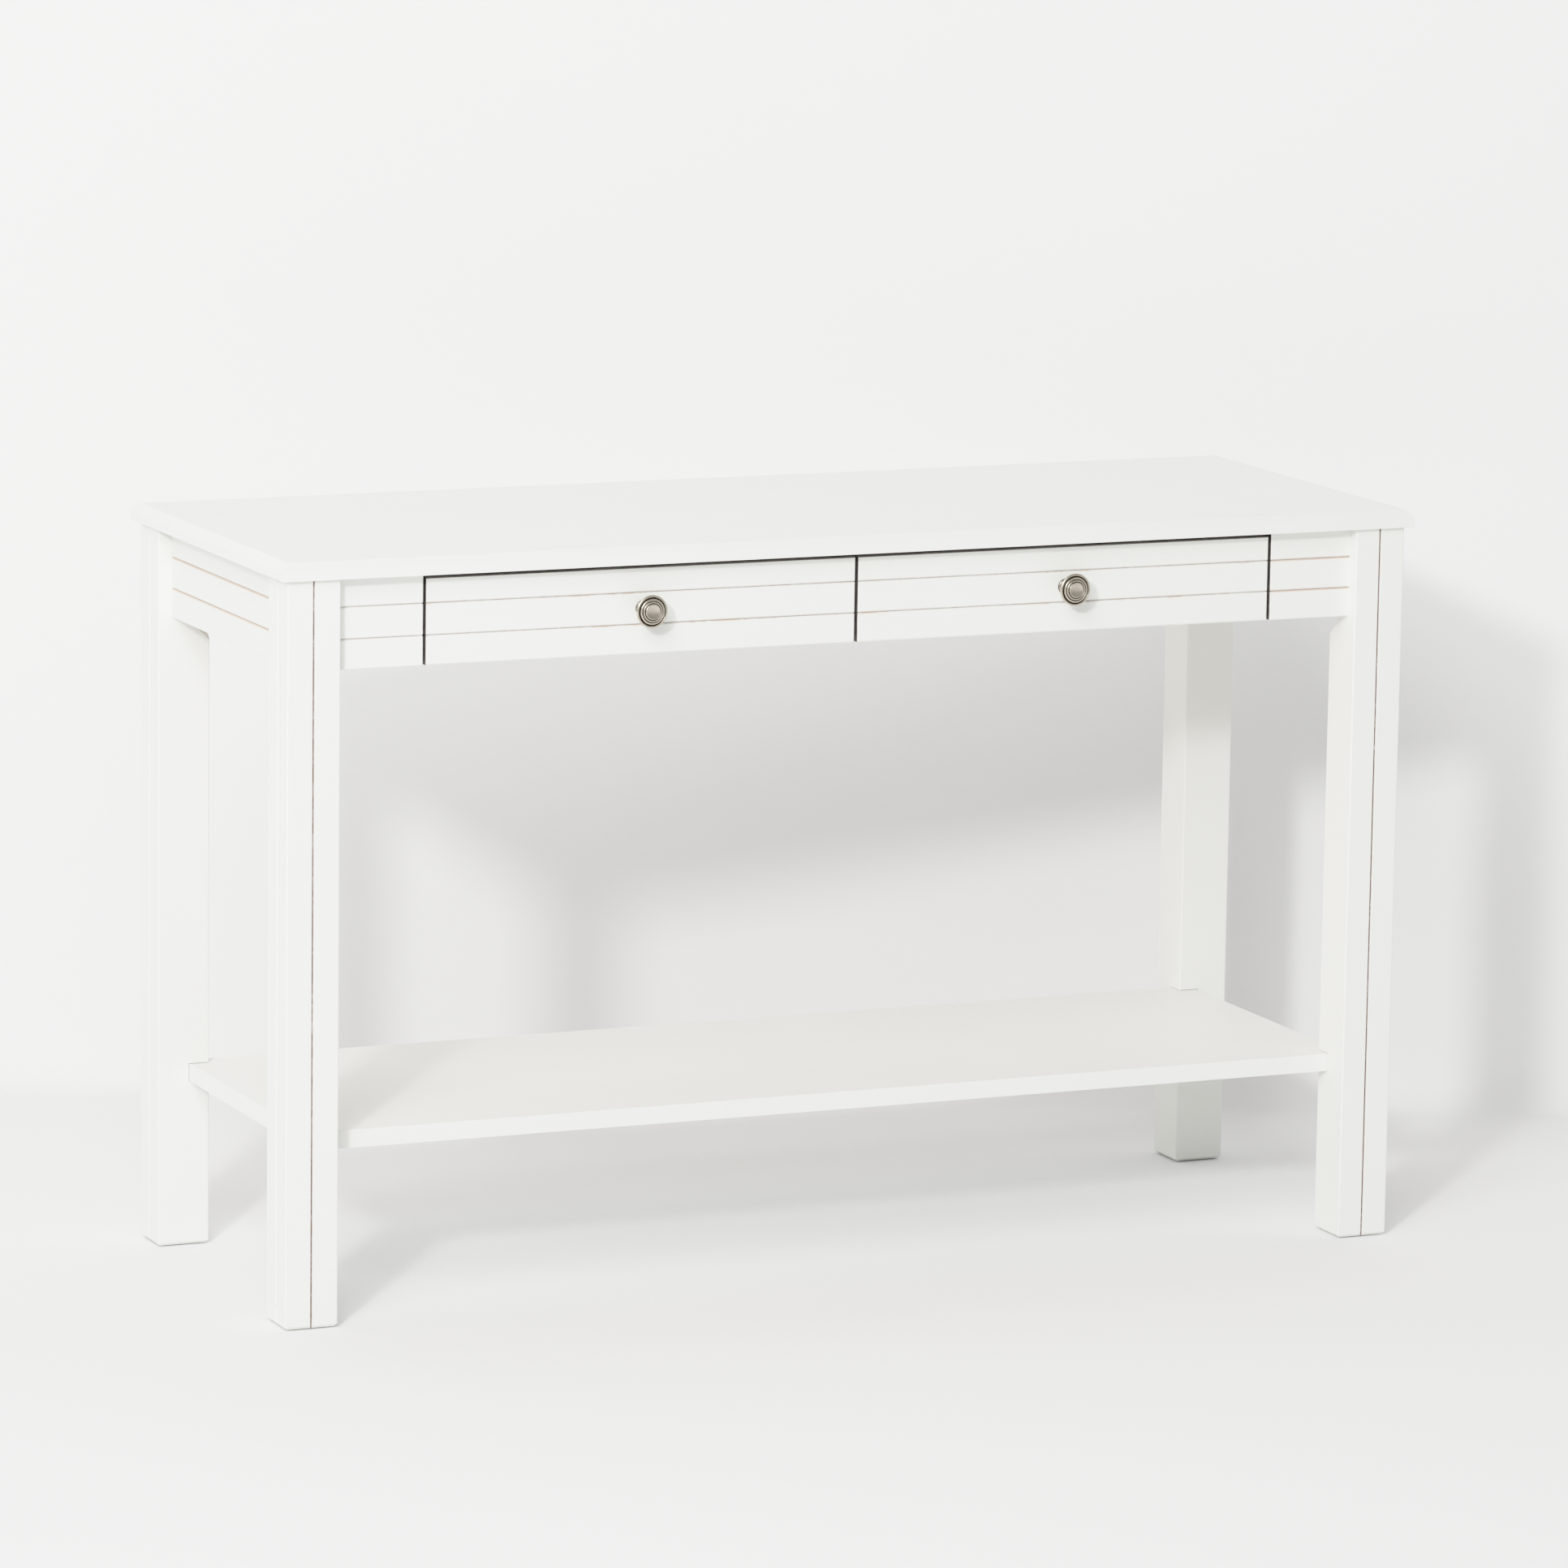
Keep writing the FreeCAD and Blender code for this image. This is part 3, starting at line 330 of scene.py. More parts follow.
def timber(name, along, light, dark, shift, rings=True):
    """Bare sanded wood with long fibres.

    It has growth rings round a pith that lies beside the board, or the flat figure of peeled
    veneer."""
    finish = Finish(name)
    fibres = finish.noise(22.0, finish.mapped(scale=along_grain(along, *GRAIN), shift=shift),
                          detail=5.0, roughness=0.7)
    if rings:
        bent = finish.noise(6.0, finish.mapped(scale=along_grain(along, 0.25, 1), shift=shift),
                            detail=2.0)
        x, y, z = finish.axes(finish.mapped(shift=shift))
        first, second = {"X": (y, z), "Y": (x, z), "Z": (x, y)}[along]
        radius = (first * first + second * second).math("SQRT")
        wave = ((radius * 230.0 + bent * 9.0).math("FRACT")).math("PINGPONG", 1.0)
        late = wave.fade(0.35, 0.95) * 0.75
    else:
        figure = finish.noise(3.2, finish.mapped(scale=along_grain(along, 1, 7), shift=shift),
                              detail=4.0, distortion=0.9)
        late = figure.fade(0.40, 0.60) * 0.62
    tone = finish.mix((late + fibres.fade(0.42, 0.75) * 0.30).least(1.0), light, dark)
    height = fibres * 0.7 - late * 0.4
    rough = 0.62 + 0.14 * fibres
    return finish.surface(Base_Color=tone, Roughness=rough, Normal=finish.bump(height, 0.12 * MM, 0.5))


def metal(name, tone, tarnish, roughness, scale=180.0):
    """Plated sheet or turned steel, with faint clouds in its plating."""
    finish = Finish(name)
    clouds = finish.noise(scale, detail=4.0, roughness=0.7)
    broad = finish.noise(scale / 9.0, detail=2.0)
    base = finish.mix(clouds.fade(0.35, 0.75) * 0.5 + broad * 0.2, tone, tarnish)
    rough = roughness + 0.16 * (clouds - 0.5)
    normal = finish.bump(clouds, 0.02 * MM, 0.5)
    return finish.surface(Base_Color=base, Metallic=1.0, Roughness=rough, Normal=normal)


def coated(name, tone, shade, roughness, scale=700.0):
    """Moulded plastic or coated steel: an even colour with a fine pebbled skin."""
    finish = Finish(name)
    skin = finish.noise(scale, detail=2.0)
    clouds = finish.noise(18.0, detail=3.0)
    base = finish.mix(clouds.fade(0.4, 0.7) * 0.5, tone, shade)
    rough = roughness + 0.08 * (clouds - 0.5)
    return finish.surface(Base_Color=base, Roughness=rough, Normal=finish.bump(skin, 0.03 * MM, 0.4))


def darker(tone, amount):
    return tuple(part * amount for part in tone)


def dress(nodes, material):
    """Gives CAD nodes their material."""
    for name in nodes:
        for slot in frame["nodes"][name].material_slots:
            slot.material = material


# ---- shapes ----

def piece(bm, name, material, body, replaced=(), smooth_below=35.0):
    """Makes the bmesh an object that rides on a body and stands for CAD nodes."""
    bmesh.ops.remove_doubles(bm, verts=bm.verts, dist=0.002 * MM)
    bmesh.ops.recalc_face_normals(bm, faces=bm.faces)
    mesh = bpy.data.meshes.new(name)
    bm.to_mesh(mesh)
    bm.free()
    mesh.materials.append(material)
    mesh.shade_smooth()
    mesh.set_sharp_from_angle(angle=math.radians(smooth_below))
    made = bpy.data.objects.new(name, mesh)
    bpy.context.scene.collection.objects.link(made)
    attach(made, body)
    if replaced:
        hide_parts(*replaced)
    return made


def body_of_node(name):
    for body, nodes in frame["record"]["behaviour"]["bodies"].items():
        if name in nodes:
            return body
    raise RuntimeError("no body holds the node " + name)


def turned(bm, profile, steps, close=False):
    """A shape turned about Z from (distance along Z, radius) points."""
    points = [bm.verts.new((radius, 0, along)) for along, radius in profile]
    ends = points[1:] + points[:1] if close else points[1:]
    edges = [bm.edges.new(pair) for pair in zip(points, ends)]
    bmesh.ops.spin(bm, geom=points + edges, cent=(0, 0, 0), axis=(0, 0, 1), dvec=(0, 0, 0),
                   angle=math.tau, steps=steps, use_merge=True, use_duplicate=False)


def laid(start, direction):
    """The matrix that lays Z along a direction, starting at a point."""
    turn = Vector(direction).to_track_quat("Z", "Y").to_matrix().to_4x4()
    return Matrix.Translation(start) @ turn


def islands(name):
    """The separate solids of a CAD node, each as its list of points."""
    bm = bmesh.new()
    bm.from_mesh(frame["nodes"][name].data)
    bmesh.ops.remove_doubles(bm, verts=bm.verts, dist=0.01 * MM)
    left = set(bm.verts)
    found = []
    while left:
        queue = [left.pop()]
        points = []
        while queue:
            vert = queue.pop()
            points.append(vert.co.copy())
            for edge in vert.link_edges:
                other = edge.other_vert(vert)
                if other in left:
                    left.remove(other)
                    queue.append(other)
        found.append(points)
    bm.free()
    return sorted(found, key=lambda points: tuple(round(value, 5) for value in middle_of(points)))


def middle_of(points):
    low = Vector(min(point[i] for point in points) for i in range(3))
    high = Vector(max(point[i] for point in points) for i in range(3))
    return (low + high) / 2


def screw_place(points):
    """A straight screw's head point, its direction and its length, from its solid's points."""
    middle = middle_of(points)
    spans = [max(point[i] for point in points) - min(point[i] for point in points) for i in range(3)]
    axis = spans.index(max(spans))
    half = spans[axis] / 2

    def width(end):
        near = [point for point in points if abs(point[axis] - middle[axis] - end * half) < 0.05 * MM]
        return max((Vector(point[i] - middle[i] for i in range(3) if i != axis).length
                    for point in near), default=0.0)

    towards = 1 if width(-1) > width(1) else -1
    direction = Vector((0, 0, 0))
    direction[axis] = towards
    return middle - direction * half, direction, 2 * half


def extend(bm, edges, shift, scale):
    """Extrudes a ring of edges along Z and scales it; returns the new ring."""
    made = bmesh.ops.extrude_edge_only(bm, edges=edges)["geom"]
    verts = [item for item in made if isinstance(item, bmesh.types.BMVert)]
    bmesh.ops.translate(bm, vec=(0, 0, shift), verts=verts)
    bmesh.ops.scale(bm, vec=(scale, scale, 1), verts=verts)
    return [item for item in made if isinstance(item, bmesh.types.BMEdge)
            and all(vert in verts for vert in item.verts)]


SCREW_SIDES = 24
RECESS_TAPER = 0.6


def screw_shape(profile, cross):
    """A screw along Z: a head with a cross recess, then rings at (distance, radius)."""
    bm = bmesh.new()
    reach, width, deep = cross
    corners = ((-width, -width), (width, -width), (width, width), (-width, width))
    floor = bm.faces.new([bm.verts.new((x, y, 0)) for x, y in corners])
    for edge in list(floor.edges):
        outwards = (edge.verts[0].co + edge.verts[1].co).normalized() * (reach - width)
        arm = bmesh.ops.extrude_edge_only(bm, edges=[edge])["geom"]
        bmesh.ops.translate(bm, vec=outwards, verts=[v for v in arm if isinstance(v, bmesh.types.BMVert)])
    outline = [edge for edge in bm.edges if edge.is_boundary]
    bmesh.ops.subdivide_edges(bm, edges=outline, cuts=1)
    flat = bm.faces[:]
    sunk = bmesh.ops.extrude_face_region(bm, geom=flat)["geom"]
    bmesh.ops.delete(bm, geom=[face for face in flat if face.is_valid], context="FACES_ONLY")
    sunk_verts = [item for item in sunk if isinstance(item, bmesh.types.BMVert)]
    bmesh.ops.translate(bm, vec=(0, 0, deep), verts=sunk_verts)
    bmesh.ops.scale(bm, vec=(RECESS_TAPER, RECESS_TAPER, 1), verts=sunk_verts)
    mouth = [edge for edge in bm.edges if edge.is_boundary]
    rim = bmesh.ops.create_circle(bm, cap_ends=False, segments=SCREW_SIDES,
                                  radius=profile[0][1])["verts"]
    ring = [edge for edge in bm.edges if all(vert in rim for vert in edge.verts)]
    bmesh.ops.bridge_loops(bm, edges=mouth + ring)
    along, radius = profile[0]
    for next_along, next_radius in profile[1:]:
        ring = extend(bm, ring, next_along - along, next_radius / radius)
        along, radius = next_along, next_radius
    bmesh.ops.holes_fill(bm, edges=ring, sides=0)
    return bm


def added(target, source, matrix):
    """Adds a copy of one bmesh to another, moved by the matrix."""
    copy = source.copy()
    bmesh.ops.transform(copy, matrix=matrix, verts=copy.verts)
    mesh = bpy.data.meshes.new("part")
    copy.to_mesh(mesh)
    copy.free()
    target.from_mesh(mesh)
    bpy.data.meshes.remove(mesh)


# ---- operators ----

class TABLE_OT_paint(bpy.types.Operator):
    """Paint the top, legs, aprons, drawer fronts and shelf"""
    bl_idname = "table.paint"
    bl_label = "Paint the boards"

    # fades from nothing to full, as distances: of the painted shade in the gaps, dark as unpainted
    # end wood, at a board's ends and at its top, from the edge and from the board's face, and of the
    # worn arris beside them
    END_EDGE = (0.9 * MM, 0.5 * MM)
    END_DEPTH = (0.8 * MM, 1.4 * MM)
    TOP_EDGE = (1.3 * MM, 0.8 * MM)
    TOP_DEPTH = (0.2 * MM, 0.6 * MM)
    ARRIS = (2.0 * MM, 0.8 * MM)
    # each front piece's wear, line (painted shade in the groove bottoms, partly worn wood) and pores, as
    # painted() takes them
    FRONTS = {"front_panel_left": (0.35, 0.55, 0.0), "front_panel_right": (0.88, 0.55, 0.0),
              "drawer_left_front": (0.40, 0.60, 0.10), "drawer_right_front": (0.45, 0.58, 0.22)}

    def execute(self, context):
        settings = context.scene.table_paint
        half = settings.groove_width / 2
        apron_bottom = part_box("rear_apron")[0].z
        heights = [apron_bottom + settings.lower_groove, apron_bottom + settings.upper_groove]
        front_face = -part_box("front_panel_left")[0].y
        side_face = -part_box("side_apron_left")[0].x
        leg_low, leg_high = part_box("leg_rear_right")
        leg_middle = (leg_low + leg_high) / 2

        def joined(masks):
            whole, wall, line = masks[0]
            for other in masks[1:]:
                whole, wall, line = whole.most(other[0]), wall.most(other[1]), line.most(other[2])
            return whole, wall, line

        def front_grooves(x, y, z):
            depth = front_face - abs(y)
            return joined([groove_masks(z - height, depth, half) for height in heights])

        def side_grooves(x, y, z):
            depth = side_face - abs(x)
            return joined([groove_masks(z - height, depth, half) for height in heights])

        def leg_grooves(x, y, z):
            return joined([
                groove_masks(abs(x) - leg_middle.x, leg_high.y - abs(y), half, 1.5),
                groove_masks(abs(y) - leg_middle.y, leg_high.x - abs(x), half)])

        def gap_shade_edges(places, top):
            """Masks of the painted shade in the gaps, dark as unpainted end wood, at the x places and at
            the top, and of the worn arrises there.
            """
            def masks(x, y, z):
                away = abs(x - places[0])
                for place in places[1:]:
                    away = away.least(abs(x - place))
                depth = front_face - abs(y)
                # bare: painted shade in the gaps and above the drawer, dark as unpainted end wood
                bare = away.fade(*self.END_EDGE) * depth.fade(*self.END_DEPTH)
                if top:
                    above = abs(z - top)
                    bare = bare.most(above.fade(*self.TOP_EDGE) * depth.fade(*self.TOP_DEPTH))
                    away = away.least(above)
                return bare, away.fade(*self.ARRIS) * (1 - bare)
            return masks

        dress(["top_panel"], painted("paint_top", "X", None, settings, pores=0.05))
        dress(["shelf"], painted("paint_shelf", "X", None, settings, pores=0.04))
        dress(LEGS, painted("paint_legs", "Z", leg_grooves, settings, wear=0.25, line=0.95))
        dress(["side_apron_left", "side_apron_right"],
              painted("paint_side_aprons", "Y", side_grooves, settings, wear=0.95, line=0.35))
        dress(["rear_apron"],
              painted("paint_rear_apron", "X", front_grooves, settings, wear=0.5, line=0.4))
        for name, (wear, line, pores) in self.FRONTS.items():
            low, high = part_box(name)
            places = [edge for edge in (low.x, high.x) if abs(edge) < leg_low.x - MM]
            top = high.z if name.startswith("drawer") else None
            dress([name], painted("paint_" + name, "X", front_grooves, settings, wear=wear, line=line,
                                  edges=gap_shade_edges(places, top), pores=pores))
        return {"FINISHED"}


class TABLE_OT_timber(bpy.types.Operator):
    """Give the inner frame, drawer boxes and dowels their bare wood"""
    bl_idname = "table.timber"
    bl_label = "Bare wood"

    def execute(self, context):
        wood = context.scene.table_timber
        along_y = timber("pine_along_y", "Y", wood.pine, wood.pine_late, (0.31, 0.0, -0.60))
        along_x = timber("pine_along_x", "X", wood.pine, wood.pine_late, (0.0, 0.07, -0.63))
        dress(["divider_left", "divider_centre", "divider_right"], along_y)
        dress(["front_top_rail"], along_x)
        for side in SIDES:
            dress(["drawer_%s_side_%s" % (side, end) for end in SIDES], along_y)
            dress(["drawer_%s_back" % side], along_x)
        dress(["drawer_%s_bottom" % side for side in SIDES],
              timber("birch_plywood", "X", wood.birch, wood.birch_dark, (0.1, 0.4, 0.2), rings=False))
        dress(["drawer_%s_dowels" % side for side in SIDES] + ["frame_dowels"],
              timber("beech_dowels", "Y", wood.beech, wood.beech_dark, (0.2, 0.1, 0.3), rings=False))
        return {"FINISHED"}


class TABLE_OT_steelwork(bpy.types.Operator):
    """Finish the brackets, nuts, runners, axles and glides"""
    bl_idname = "table.steelwork"
    bl_label = "Steel and plastic"

    def execute(self, context):
        fittings = context.scene.table_fittings
        zinc = metal("bright_zinc", fittings.zinc, darker(fittings.zinc, 0.72), 0.34)
        epoxy = coated("white_coated_steel", fittings.epoxy, darker(fittings.epoxy, 0.93), 0.38)
        plastic = coated("glide_plastic", fittings.glide, darker(fittings.glide, 0.7), 0.52)
        dress(["corner_brackets", "angle_brackets", "flange_nuts", "cabinet_roller_axles"], zinc)
        dress(["drawer_%s_roller_axles" % side for side in SIDES], zinc)
        dress(["cabinet_runner_%s_%d" % (side, number) for side in SIDES for number in (1, 2)], epoxy)
        dress(["drawer_%s_runner_%s" % (side, end) for side in SIDES for end in SIDES], epoxy)
        dress(["leg_glides"], plastic)
        return {"FINISHED"}


class TABLE_OT_knobs(bpy.types.Operator):
    """Turn the two pewter knobs"""
    bl_idname = "table.knobs"
    bl_label = "Knobs"

    # fades of the dark tarnish: place, start and end as shares of the radius, and strength
    HOLLOWS = ((0.825, 0.062, 0.036, 1.0), (0.645, 0.046, 0.018, 0.95), (0.505, 0.042, 0.016, 1.0))
    # fade of the painted shade towards the neck, under the knob's head, as places along Y from the knob's
    # middle
    NECK_SHADE = (-19.0 * MM, -13.0 * MM)
    # distance from the foot in mm, and share of the knob's radius
    PROFILE = ((0.0, 0.0), (0.0, 0.30), (0.0, 0.49), (0.25, 0.50), (1.1, 0.50), (1.5, 0.485),
               (1.9, 0.45), (3.0, 0.40), (5.0, 0.345), (8.0, 0.315), (11.0, 0.325), (13.5, 0.385),
               (16.0, 0.53), (18.3, 0.72), (20.0, 0.865), (21.1, 0.945), (21.8, 0.98), (22.4, 1.0),
               (23.0, 0.995), (23.6, 0.965), (23.85, 0.925), (23.8, 0.885), (23.4, 0.86),
               (22.9, 0.845), (22.75, 0.825), (22.95, 0.805), (24.2, 0.785), (24.85, 0.76),
               (25.1, 0.72), (25.05, 0.68), (24.7, 0.66), (24.55, 0.645), (24.7, 0.63), (25.4, 0.61),
               (25.65, 0.58), (25.65, 0.54), (25.3, 0.52), (25.1, 0.505), (25.3, 0.49),
               (26.05, 0.475), (26.3, 0.45), (26.25, 0.415), (26.0, 0.36), (25.7, 0.25), (25.5, 0.12),
               (25.5, 0.0))

    def pewter(self, name, centre, radius, fittings):
        """Brushed pewter: fine rings round the knob's middle, tarnish in its hollows, and painted shade
        towards its neck.
        """
        finish = Finish(name)
        x, y, z = finish.axes(finish.mapped(shift=(-centre.x, -centre.y, -centre.z)))
        away = (x * x + z * z).math("SQRT")
        part = away / radius
        rings = finish.noise(5200.0, self.along_radius(finish, away), detail=2.0)
        clouds = finish.noise(240.0, detail=4.0)
        outer, middle, inner = [abs(part - place).fade(start, end) * strength
                                for place, start, end, strength in self.HOLLOWS]
        hollow = outer.most(middle).most(inner)
        behind = y.fade(*self.NECK_SHADE)
        # dark mixes the tarnish in the hollows and clouds with painted shade towards the neck
        dark = (hollow * 0.9 + clouds.fade(0.5, 0.8) * 0.25 + behind * 0.35).least(1.0)
        base = finish.mix(dark, fittings.pewter, fittings.patina_and_neck_shade)
        rough = 0.20 + 0.12 * clouds + 0.24 * hollow
        normal = finish.bump(rings, 0.03 * MM, 0.35)
        return finish.surface(Base_Color=base, Metallic=1.0, Roughness=rough, Normal=normal)

    @staticmethod
    def along_radius(finish, away):
        return finish.node("ShaderNodeCombineXYZ", None, {"X": away}).out()

    def execute(self, context):
        fittings = context.scene.table_fittings
        for side in SIDES:
            low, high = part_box("drawer_%s_knob" % side)
            radius = (high.x - low.x) / 2
            foot = Vector(((low.x + high.x) / 2, high.y, (low.z + high.z) / 2))
            bm = bmesh.new()
            turned(bm, [(along * MM, part * radius) for along, part in self.PROFILE],
                   fittings.knob_steps)
            bmesh.ops.transform(bm, matrix=laid(foot, (0, -1, 0)), verts=bm.verts)
            material = self.pewter("pewter_" + side, foot, radius, fittings)
            knob = piece(bm, "knob_" + side, material, "drawer_" + side,
                         ["drawer_%s_knob" % side], 180.0)
            rounding = knob.modifiers.new("rounding", "SUBSURF")
            rounding.levels = rounding.render_levels = 2
        return {"FINISHED"}


class TABLE_OT_screws(bpy.types.Operator):
    """Make the cross-recess screws"""
    bl_idname = "table.screws"
    bl_label = "Screws"

    HEAD = 3.4 * MM
    SHANK = 1.7 * MM
    TIP = 3.0 * MM
    # the recess: the reach of its arms, half their width, and its depth
    CROSS = (2.0 * MM, 0.34 * MM, 1.3 * MM)
    # the knob screw's head, as (distance from its top, radius) in mm
    PAN_HEAD = ((0.0, 2.9), (0.35, 3.6), (0.9, 4.05), (1.5, 4.2), (2.6, 4.2), (2.6, 2.0))

    def execute(self, context):
        fittings = context.scene.table_fittings
        zinc = metal("zinc_screws", fittings.zinc, darker(fittings.zinc, 0.6), 0.30, 420.0)
        names = ["bracket_screws", "cabinet_runner_screws"]
        names += ["drawer_%s_runner_screws" % side for side in SIDES]
        for name in names:
            bm = bmesh.new()
            for points in islands(name):
                start, direction, reach = screw_place(points)
                profile = ((0, self.HEAD), (0.15 * MM, self.HEAD), (self.HEAD - self.SHANK, self.SHANK),
                           (reach - self.TIP, self.SHANK), (reach, 0.05 * MM))
                shape = screw_shape(profile, self.CROSS)
                added(bm, shape, laid(start, direction))
                shape.free()
            piece(bm, name + "_crossed", zinc, body_of_node(name), [name])
        for side in SIDES:
            name = "drawer_%s_knob_screw" % side
            low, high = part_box(name)
            start = Vector(((low.x + high.x) / 2, high.y, (low.z + high.z) / 2))
            profile = [(along * MM, radius * MM) for along, radius in self.PAN_HEAD]
            profile += [(high.y - low.y - MM, 2.0 * MM), (high.y - low.y, 1.2 * MM)]
            bm = screw_shape(profile, self.CROSS)
            bmesh.ops.transform(bm, matrix=laid(start, (0, -1, 0)), verts=bm.verts)
            piece(bm, name + "_crossed", zinc, "drawer_" + side, [name])
        return {"FINISHED"}


class TABLE_OT_bolts(bpy.types.Operator):
    """Make the threaded hanger bolts that hold the legs"""
    bl_idname = "table.bolts"
    bl_label = "Hanger bolts"

    LENGTH = 60.0 * MM
    THREADED = 25.0 * MM
    CREST = 4.0 * MM
    ROOT = 3.4 * MM
    POINT = 6.0 * MM
    BEVEL = 0.6 * MM
    RUN_OUT = 1.5 * MM
    STEPS = 20

    def execute(self, context):
        fittings = context.scene.table_fittings
        pitch = fittings.thread_pitch
        bolt = bmesh.new()
        shoulder = self.LENGTH - self.THREADED
        turned(bolt, [(0, 0), (0, 0.3 * self.CREST), (self.POINT, self.CREST),
                      (shoulder, self.CREST), (shoulder, self.ROOT),
                      (self.LENGTH - self.BEVEL, self.ROOT), (self.LENGTH, self.ROOT - 0.5 * MM),
                      (self.LENGTH, 0)], self.STEPS)
        turns = int((self.THREADED - self.RUN_OUT) / pitch)
        ridge = [bolt.verts.new((radius, 0, shoulder + along * pitch))
                 for radius, along in ((self.ROOT - 0.1 * MM, 0.0), (self.CREST, 0.45),
                                       (self.CREST, 0.55), (self.ROOT - 0.1 * MM, 1.0))]
        section = bolt.faces.new(ridge)
        bmesh.ops.spin(bolt, geom=ridge + list(section.edges) + [section], cent=(0, 0, 0),
                       axis=(0, 0, 1), dvec=(0, 0, pitch / self.STEPS), angle=math.tau * turns,
                       steps=self.STEPS * turns, use_merge=False, use_duplicate=False)
        bm = bmesh.new()
        for points in islands("hanger_bolts"):
            middle = middle_of(points)
            inwards = Vector((-math.copysign(1, middle.x), -math.copysign(1, middle.y), 0)).normalized()
            added(bm, bolt, laid(middle - inwards * self.LENGTH / 2, inwards))
        bolt.free()
        steel = metal("zinc_bolts", fittings.zinc, darker(fittings.zinc, 0.55), 0.30, 420.0)
        piece(bm, "hanger_bolts_threaded", steel, "frame", ["hanger_bolts"], 25.0)
        return {"FINISHED"}


class TABLE_OT_rollers(bpy.types.Operator):
    """Make the runners' nylon rollers"""
    bl_idname = "table.rollers"
    bl_label = "Rollers"

    # share of the width and radius in mm, round the roller's closed section
    SECTION = ((0.0, 2.55), (0.0, 4.3), (0.04, 4.5), (0.17, 4.6), (0.19, 4.9), (0.19, 6.9),
               (0.17, 7.2), (0.03, 7.4), (0.0, 7.7), (0.0, 8.3), (0.04, 8.75), (0.12, 9.0),
               (0.88, 9.0), (0.96, 8.75), (1.0, 8.3), (1.0, 7.7), (0.97, 7.4), (0.83, 7.2),
               (0.81, 6.9), (0.81, 4.9), (0.83, 4.6), (0.96, 4.5), (1.0, 4.3), (1.0, 2.55))
    STEPS = 48

    def execute(self, context):
        fittings = context.scene.table_fittings
        nylon = coated("natural_nylon", fittings.nylon, darker(fittings.nylon, 0.9), 0.36, 900.0)
        for name in ROLLERS:
            low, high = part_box(name)
            start = Vector((low.x, (low.y + high.y) / 2, (low.z + high.z) / 2))
            width = high.x - low.x
            bm = bmesh.new()
            turned(bm, [(part * width, radius * MM) for part, radius in self.SECTION], self.STEPS,
                   close=True)
            bmesh.ops.transform(bm, matrix=laid(start, (1, 0, 0)), verts=bm.verts)
            piece(bm, name + "_nylon", nylon, name, [name])
        return {"FINISHED"}


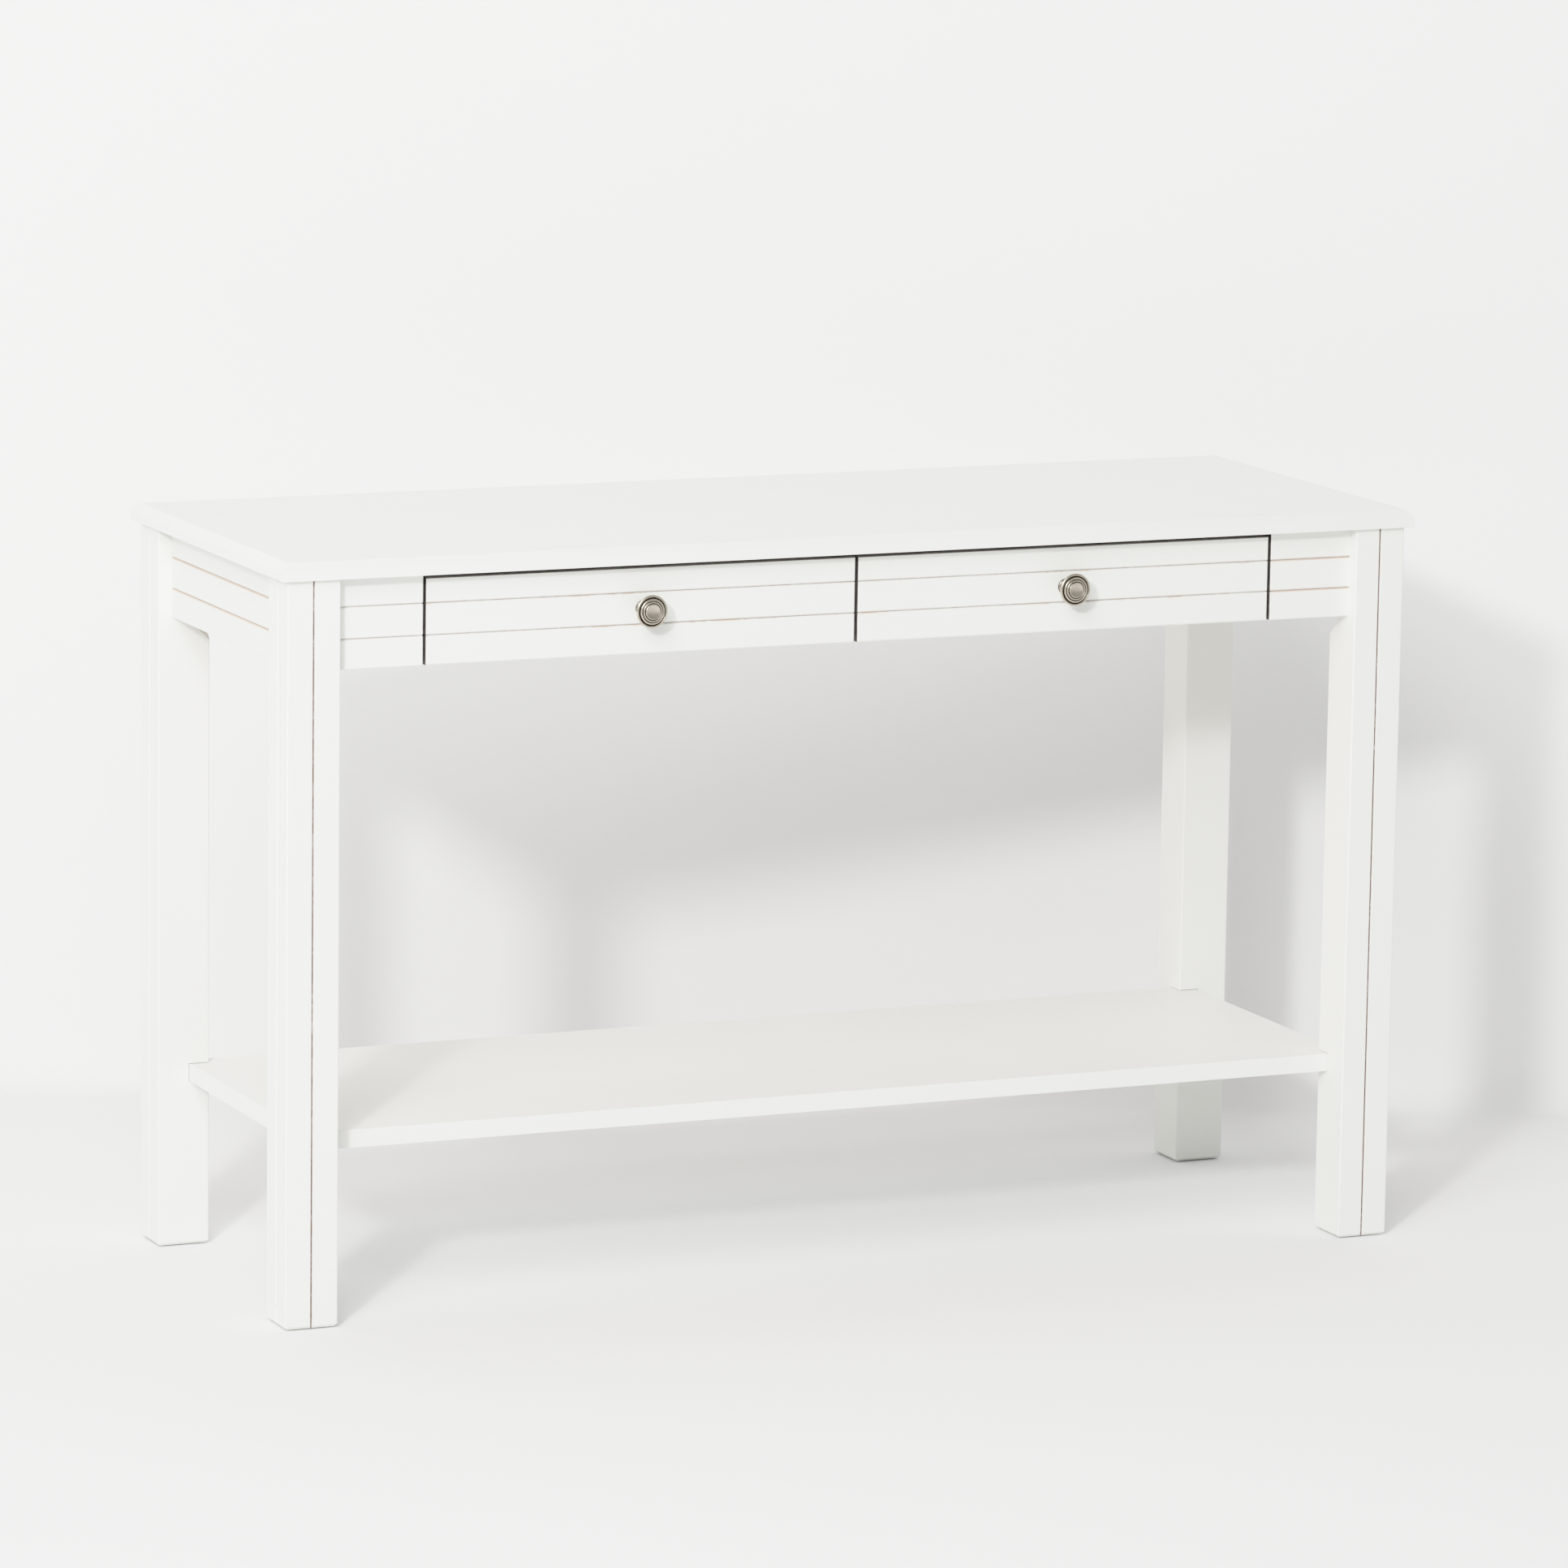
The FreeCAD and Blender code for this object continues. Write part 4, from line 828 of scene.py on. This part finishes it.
class TABLE_OT_stage(bpy.types.Operator):
    """Set up the backdrop, the lights and the camera"""
    bl_idname = "table.stage"
    bl_label = "Stage"

    # place as (to the right, towards the camera, up) in metres, diameter in metres and power in watts
    LAMPS = (("key", (-2.0, 7.3, 3.5), 0.7, 850.0), ("wide", (-0.9, 4.5, 3.2), 2.4, 280.0),
             ("high", (-1.5, 3.5, 4.2), 2.0, 170.0), ("left", (-4.5, 1.0, 1.5), 1.5, 40.0))
    LAMP_TONE = (1.0, 0.995, 0.985)
    SKY_TONE = (0.985, 0.99, 1.0, 1.0)
    AIM = Vector((0, 0, 0.45))
    CURVE_SHARES = (0.04, 0.08, 0.14, 0.2, 0.3, 0.42, 0.56, 0.75)
    # the backdrop: half its width, the wall's height, the floor before and behind the wall, how far
    # the strip behind reaches under the bend and how low it lies, and the bend
    HALF_WIDTH = 9.0
    WALL = 9.0
    FLOOR = 16.0
    FLOOR_BEHIND = 12.0
    UNDERLAP = 0.06
    STRIP_DROP = 0.2 * MM
    BEND = 0.05

    def backdrop(self, stage, right, ahead):
        """A floor that turns up into a wall; both are seen only from the table's side."""
        finish = Finish("backdrop_paper")
        clouds = finish.noise(1.3, detail=2.0)
        base = finish.mix(clouds * 0.5, stage.floor, darker(stage.floor, 0.985))
        shader = finish.node("ShaderNodeBsdfPrincipled", None,
                             {"Base Color": base, "Roughness": 0.9, "Specular IOR Level": 0.1}).out()
        clear = finish.node("ShaderNodeBsdfTransparent").out()
        behind = finish.node("ShaderNodeNewGeometry").out("Backfacing")
        mixed = finish.node("ShaderNodeMixShader", None, {0: behind, 1: shader, 2: clear}).out()
        finish.node("ShaderNodeOutputMaterial", None, {"Surface": mixed})
        bm = bmesh.new()
        bend = ahead * stage.wall_distance
        aside = right * self.HALF_WIDTH
        line = [bm.verts.new(place - aside) for place in
                (bend - ahead * self.FLOOR, bend, bend + Vector((0, 0, self.WALL)))]
        low = Vector((0, 0, -self.STRIP_DROP))
        behind_wall = [bm.verts.new(place + low - aside) for place in
                       (bend - ahead * self.UNDERLAP, bend + ahead * self.FLOOR_BEHIND)]
        edges = [bm.edges.new(pair) for pair in (*zip(line, line[1:]), behind_wall)]
        made = bmesh.ops.extrude_edge_only(bm, edges=edges)["geom"]
        bmesh.ops.translate(bm, vec=2 * aside,
                            verts=[item for item in made if isinstance(item, bmesh.types.BMVert)])
        fold = [edge for edge in bm.edges if not edge.is_boundary and len(edge.link_faces) == 2]
        bmesh.ops.bevel(bm, geom=fold, offset=self.BEND, offset_type="OFFSET", segments=8,
                        profile=0.5, affect="EDGES", material=-1)
        mesh = bpy.data.meshes.new("backdrop")
        bm.normal_update()
        floor = max(bm.faces, key=lambda face: abs(face.normal.z))
        if floor.normal.z < 0:
            bmesh.ops.reverse_faces(bm, faces=bm.faces)
        bm.to_mesh(mesh)
        bm.free()
        mesh.materials.append(finish.material)
        mesh.shade_smooth()
        sheet = bpy.data.objects.new("backdrop", mesh)
        bpy.context.scene.collection.objects.link(sheet)

    def lamp(self, name, place, power, size):
        data = bpy.data.lights.new(name, "AREA")
        data.shape = "DISK"
        data.size = size
        data.energy = power
        data.color = self.LAMP_TONE
        light = bpy.data.objects.new(name, data)
        light.location = place
        light.rotation_euler = (self.AIM - place).to_track_quat("-Z", "Y").to_euler()
        bpy.context.scene.collection.objects.link(light)

    def soft_highlights(self, view, bend, brightest):
        """Lets bright tones run gently into white, as film does."""
        view.view_transform = "Standard"
        view.use_curve_mapping = True
        tones = view.curve_mapping
        tones.white_level = (brightest, brightest, brightest)
        points = tones.curves[3].points
        for part in self.CURVE_SHARES:
            points.new(part, 1.0 - math.exp(-bend * part))
        points[-1].location = (1.0, 1.0 - math.exp(-bend))
        tones.update()

    def execute(self, context):
        stage = context.scene.table_stage
        turn, dip, roll = stage.camera_heading, stage.camera_dip, stage.camera_roll
        right = Vector((math.cos(turn), -math.sin(turn), 0))
        ahead = Vector((math.sin(turn), math.cos(turn), 0))
        view = ahead * math.cos(dip) - Vector((0, 0, math.sin(dip)))
        up = right.cross(view)
        across = right * math.cos(roll) + up * math.sin(roll)
        above = up * math.cos(roll) - right * math.sin(roll)
        data = bpy.data.cameras.new("camera")
        data.sensor_fit = "HORIZONTAL"
        data.sensor_width = 36.0
        data.lens = data.sensor_width / 2 / math.tan(stage.view_angle / 2)
        data.clip_start, data.clip_end = 0.1, 100.0
        camera = bpy.data.objects.new("camera", data)
        camera.matrix_world = Matrix.Translation(stage.camera_place) @ Matrix(
            (across, above, -view)).transposed().to_4x4()
        context.scene.collection.objects.link(camera)
        context.scene.camera = camera

        self.backdrop(stage, right, ahead)
        for name, (aside, out, height), size, power in self.LAMPS:
            self.lamp(name, right * aside - ahead * out + Vector((0, 0, height)),
                      stage.lamps * power, size)
        world = bpy.data.worlds.new("studio")
        world.use_nodes = True
        background = world.node_tree.nodes["Background"]
        background.inputs["Color"].default_value = self.SKY_TONE
        background.inputs["Strength"].default_value = stage.sky
        context.scene.world = world
        self.soft_highlights(context.scene.view_settings, stage.softness * stage.brightest,
                             stage.brightest)
        return {"FINISHED"}


OPERATORS = (TABLE_OT_paint, TABLE_OT_timber, TABLE_OT_steelwork, TABLE_OT_knobs, TABLE_OT_screws,
             TABLE_OT_bolts, TABLE_OT_rollers, TABLE_OT_stage)


class TABLE_PT_panel(bpy.types.Panel):
    bl_idname = "TABLE_PT_panel"
    bl_label = "Console Table"
    bl_space_type = "VIEW_3D"
    bl_region_type = "UI"
    bl_category = "Console Table"

    def draw(self, context):
        for operator in OPERATORS:
            self.layout.operator(operator.bl_idname)
        for group in (context.scene.table_paint, context.scene.table_timber,
                      context.scene.table_fittings, context.scene.table_stage):
            box = self.layout.box()
            for name in group.__annotations__:
                box.prop(group, name)


GROUPS = {"table_paint": PaintSettings, "table_timber": TimberSettings,
          "table_fittings": FittingSettings, "table_stage": StageSettings}


def register():
    for group in (*GROUPS.values(), *OPERATORS, TABLE_PT_panel):
        bpy.utils.register_class(group)
    for name, group in GROUPS.items():
        setattr(bpy.types.Scene, name, PointerProperty(type=group))


def unregister():
    for name in GROUPS:
        delattr(bpy.types.Scene, name)
    for group in (TABLE_PT_panel, *reversed(OPERATORS), *GROUPS.values()):
        bpy.utils.unregister_class(group)


def main():
    register()
    for operator in OPERATORS:
        family, name = operator.bl_idname.split(".")
        getattr(getattr(bpy.ops, family), name)()


if __name__ == "__main__":
    main()
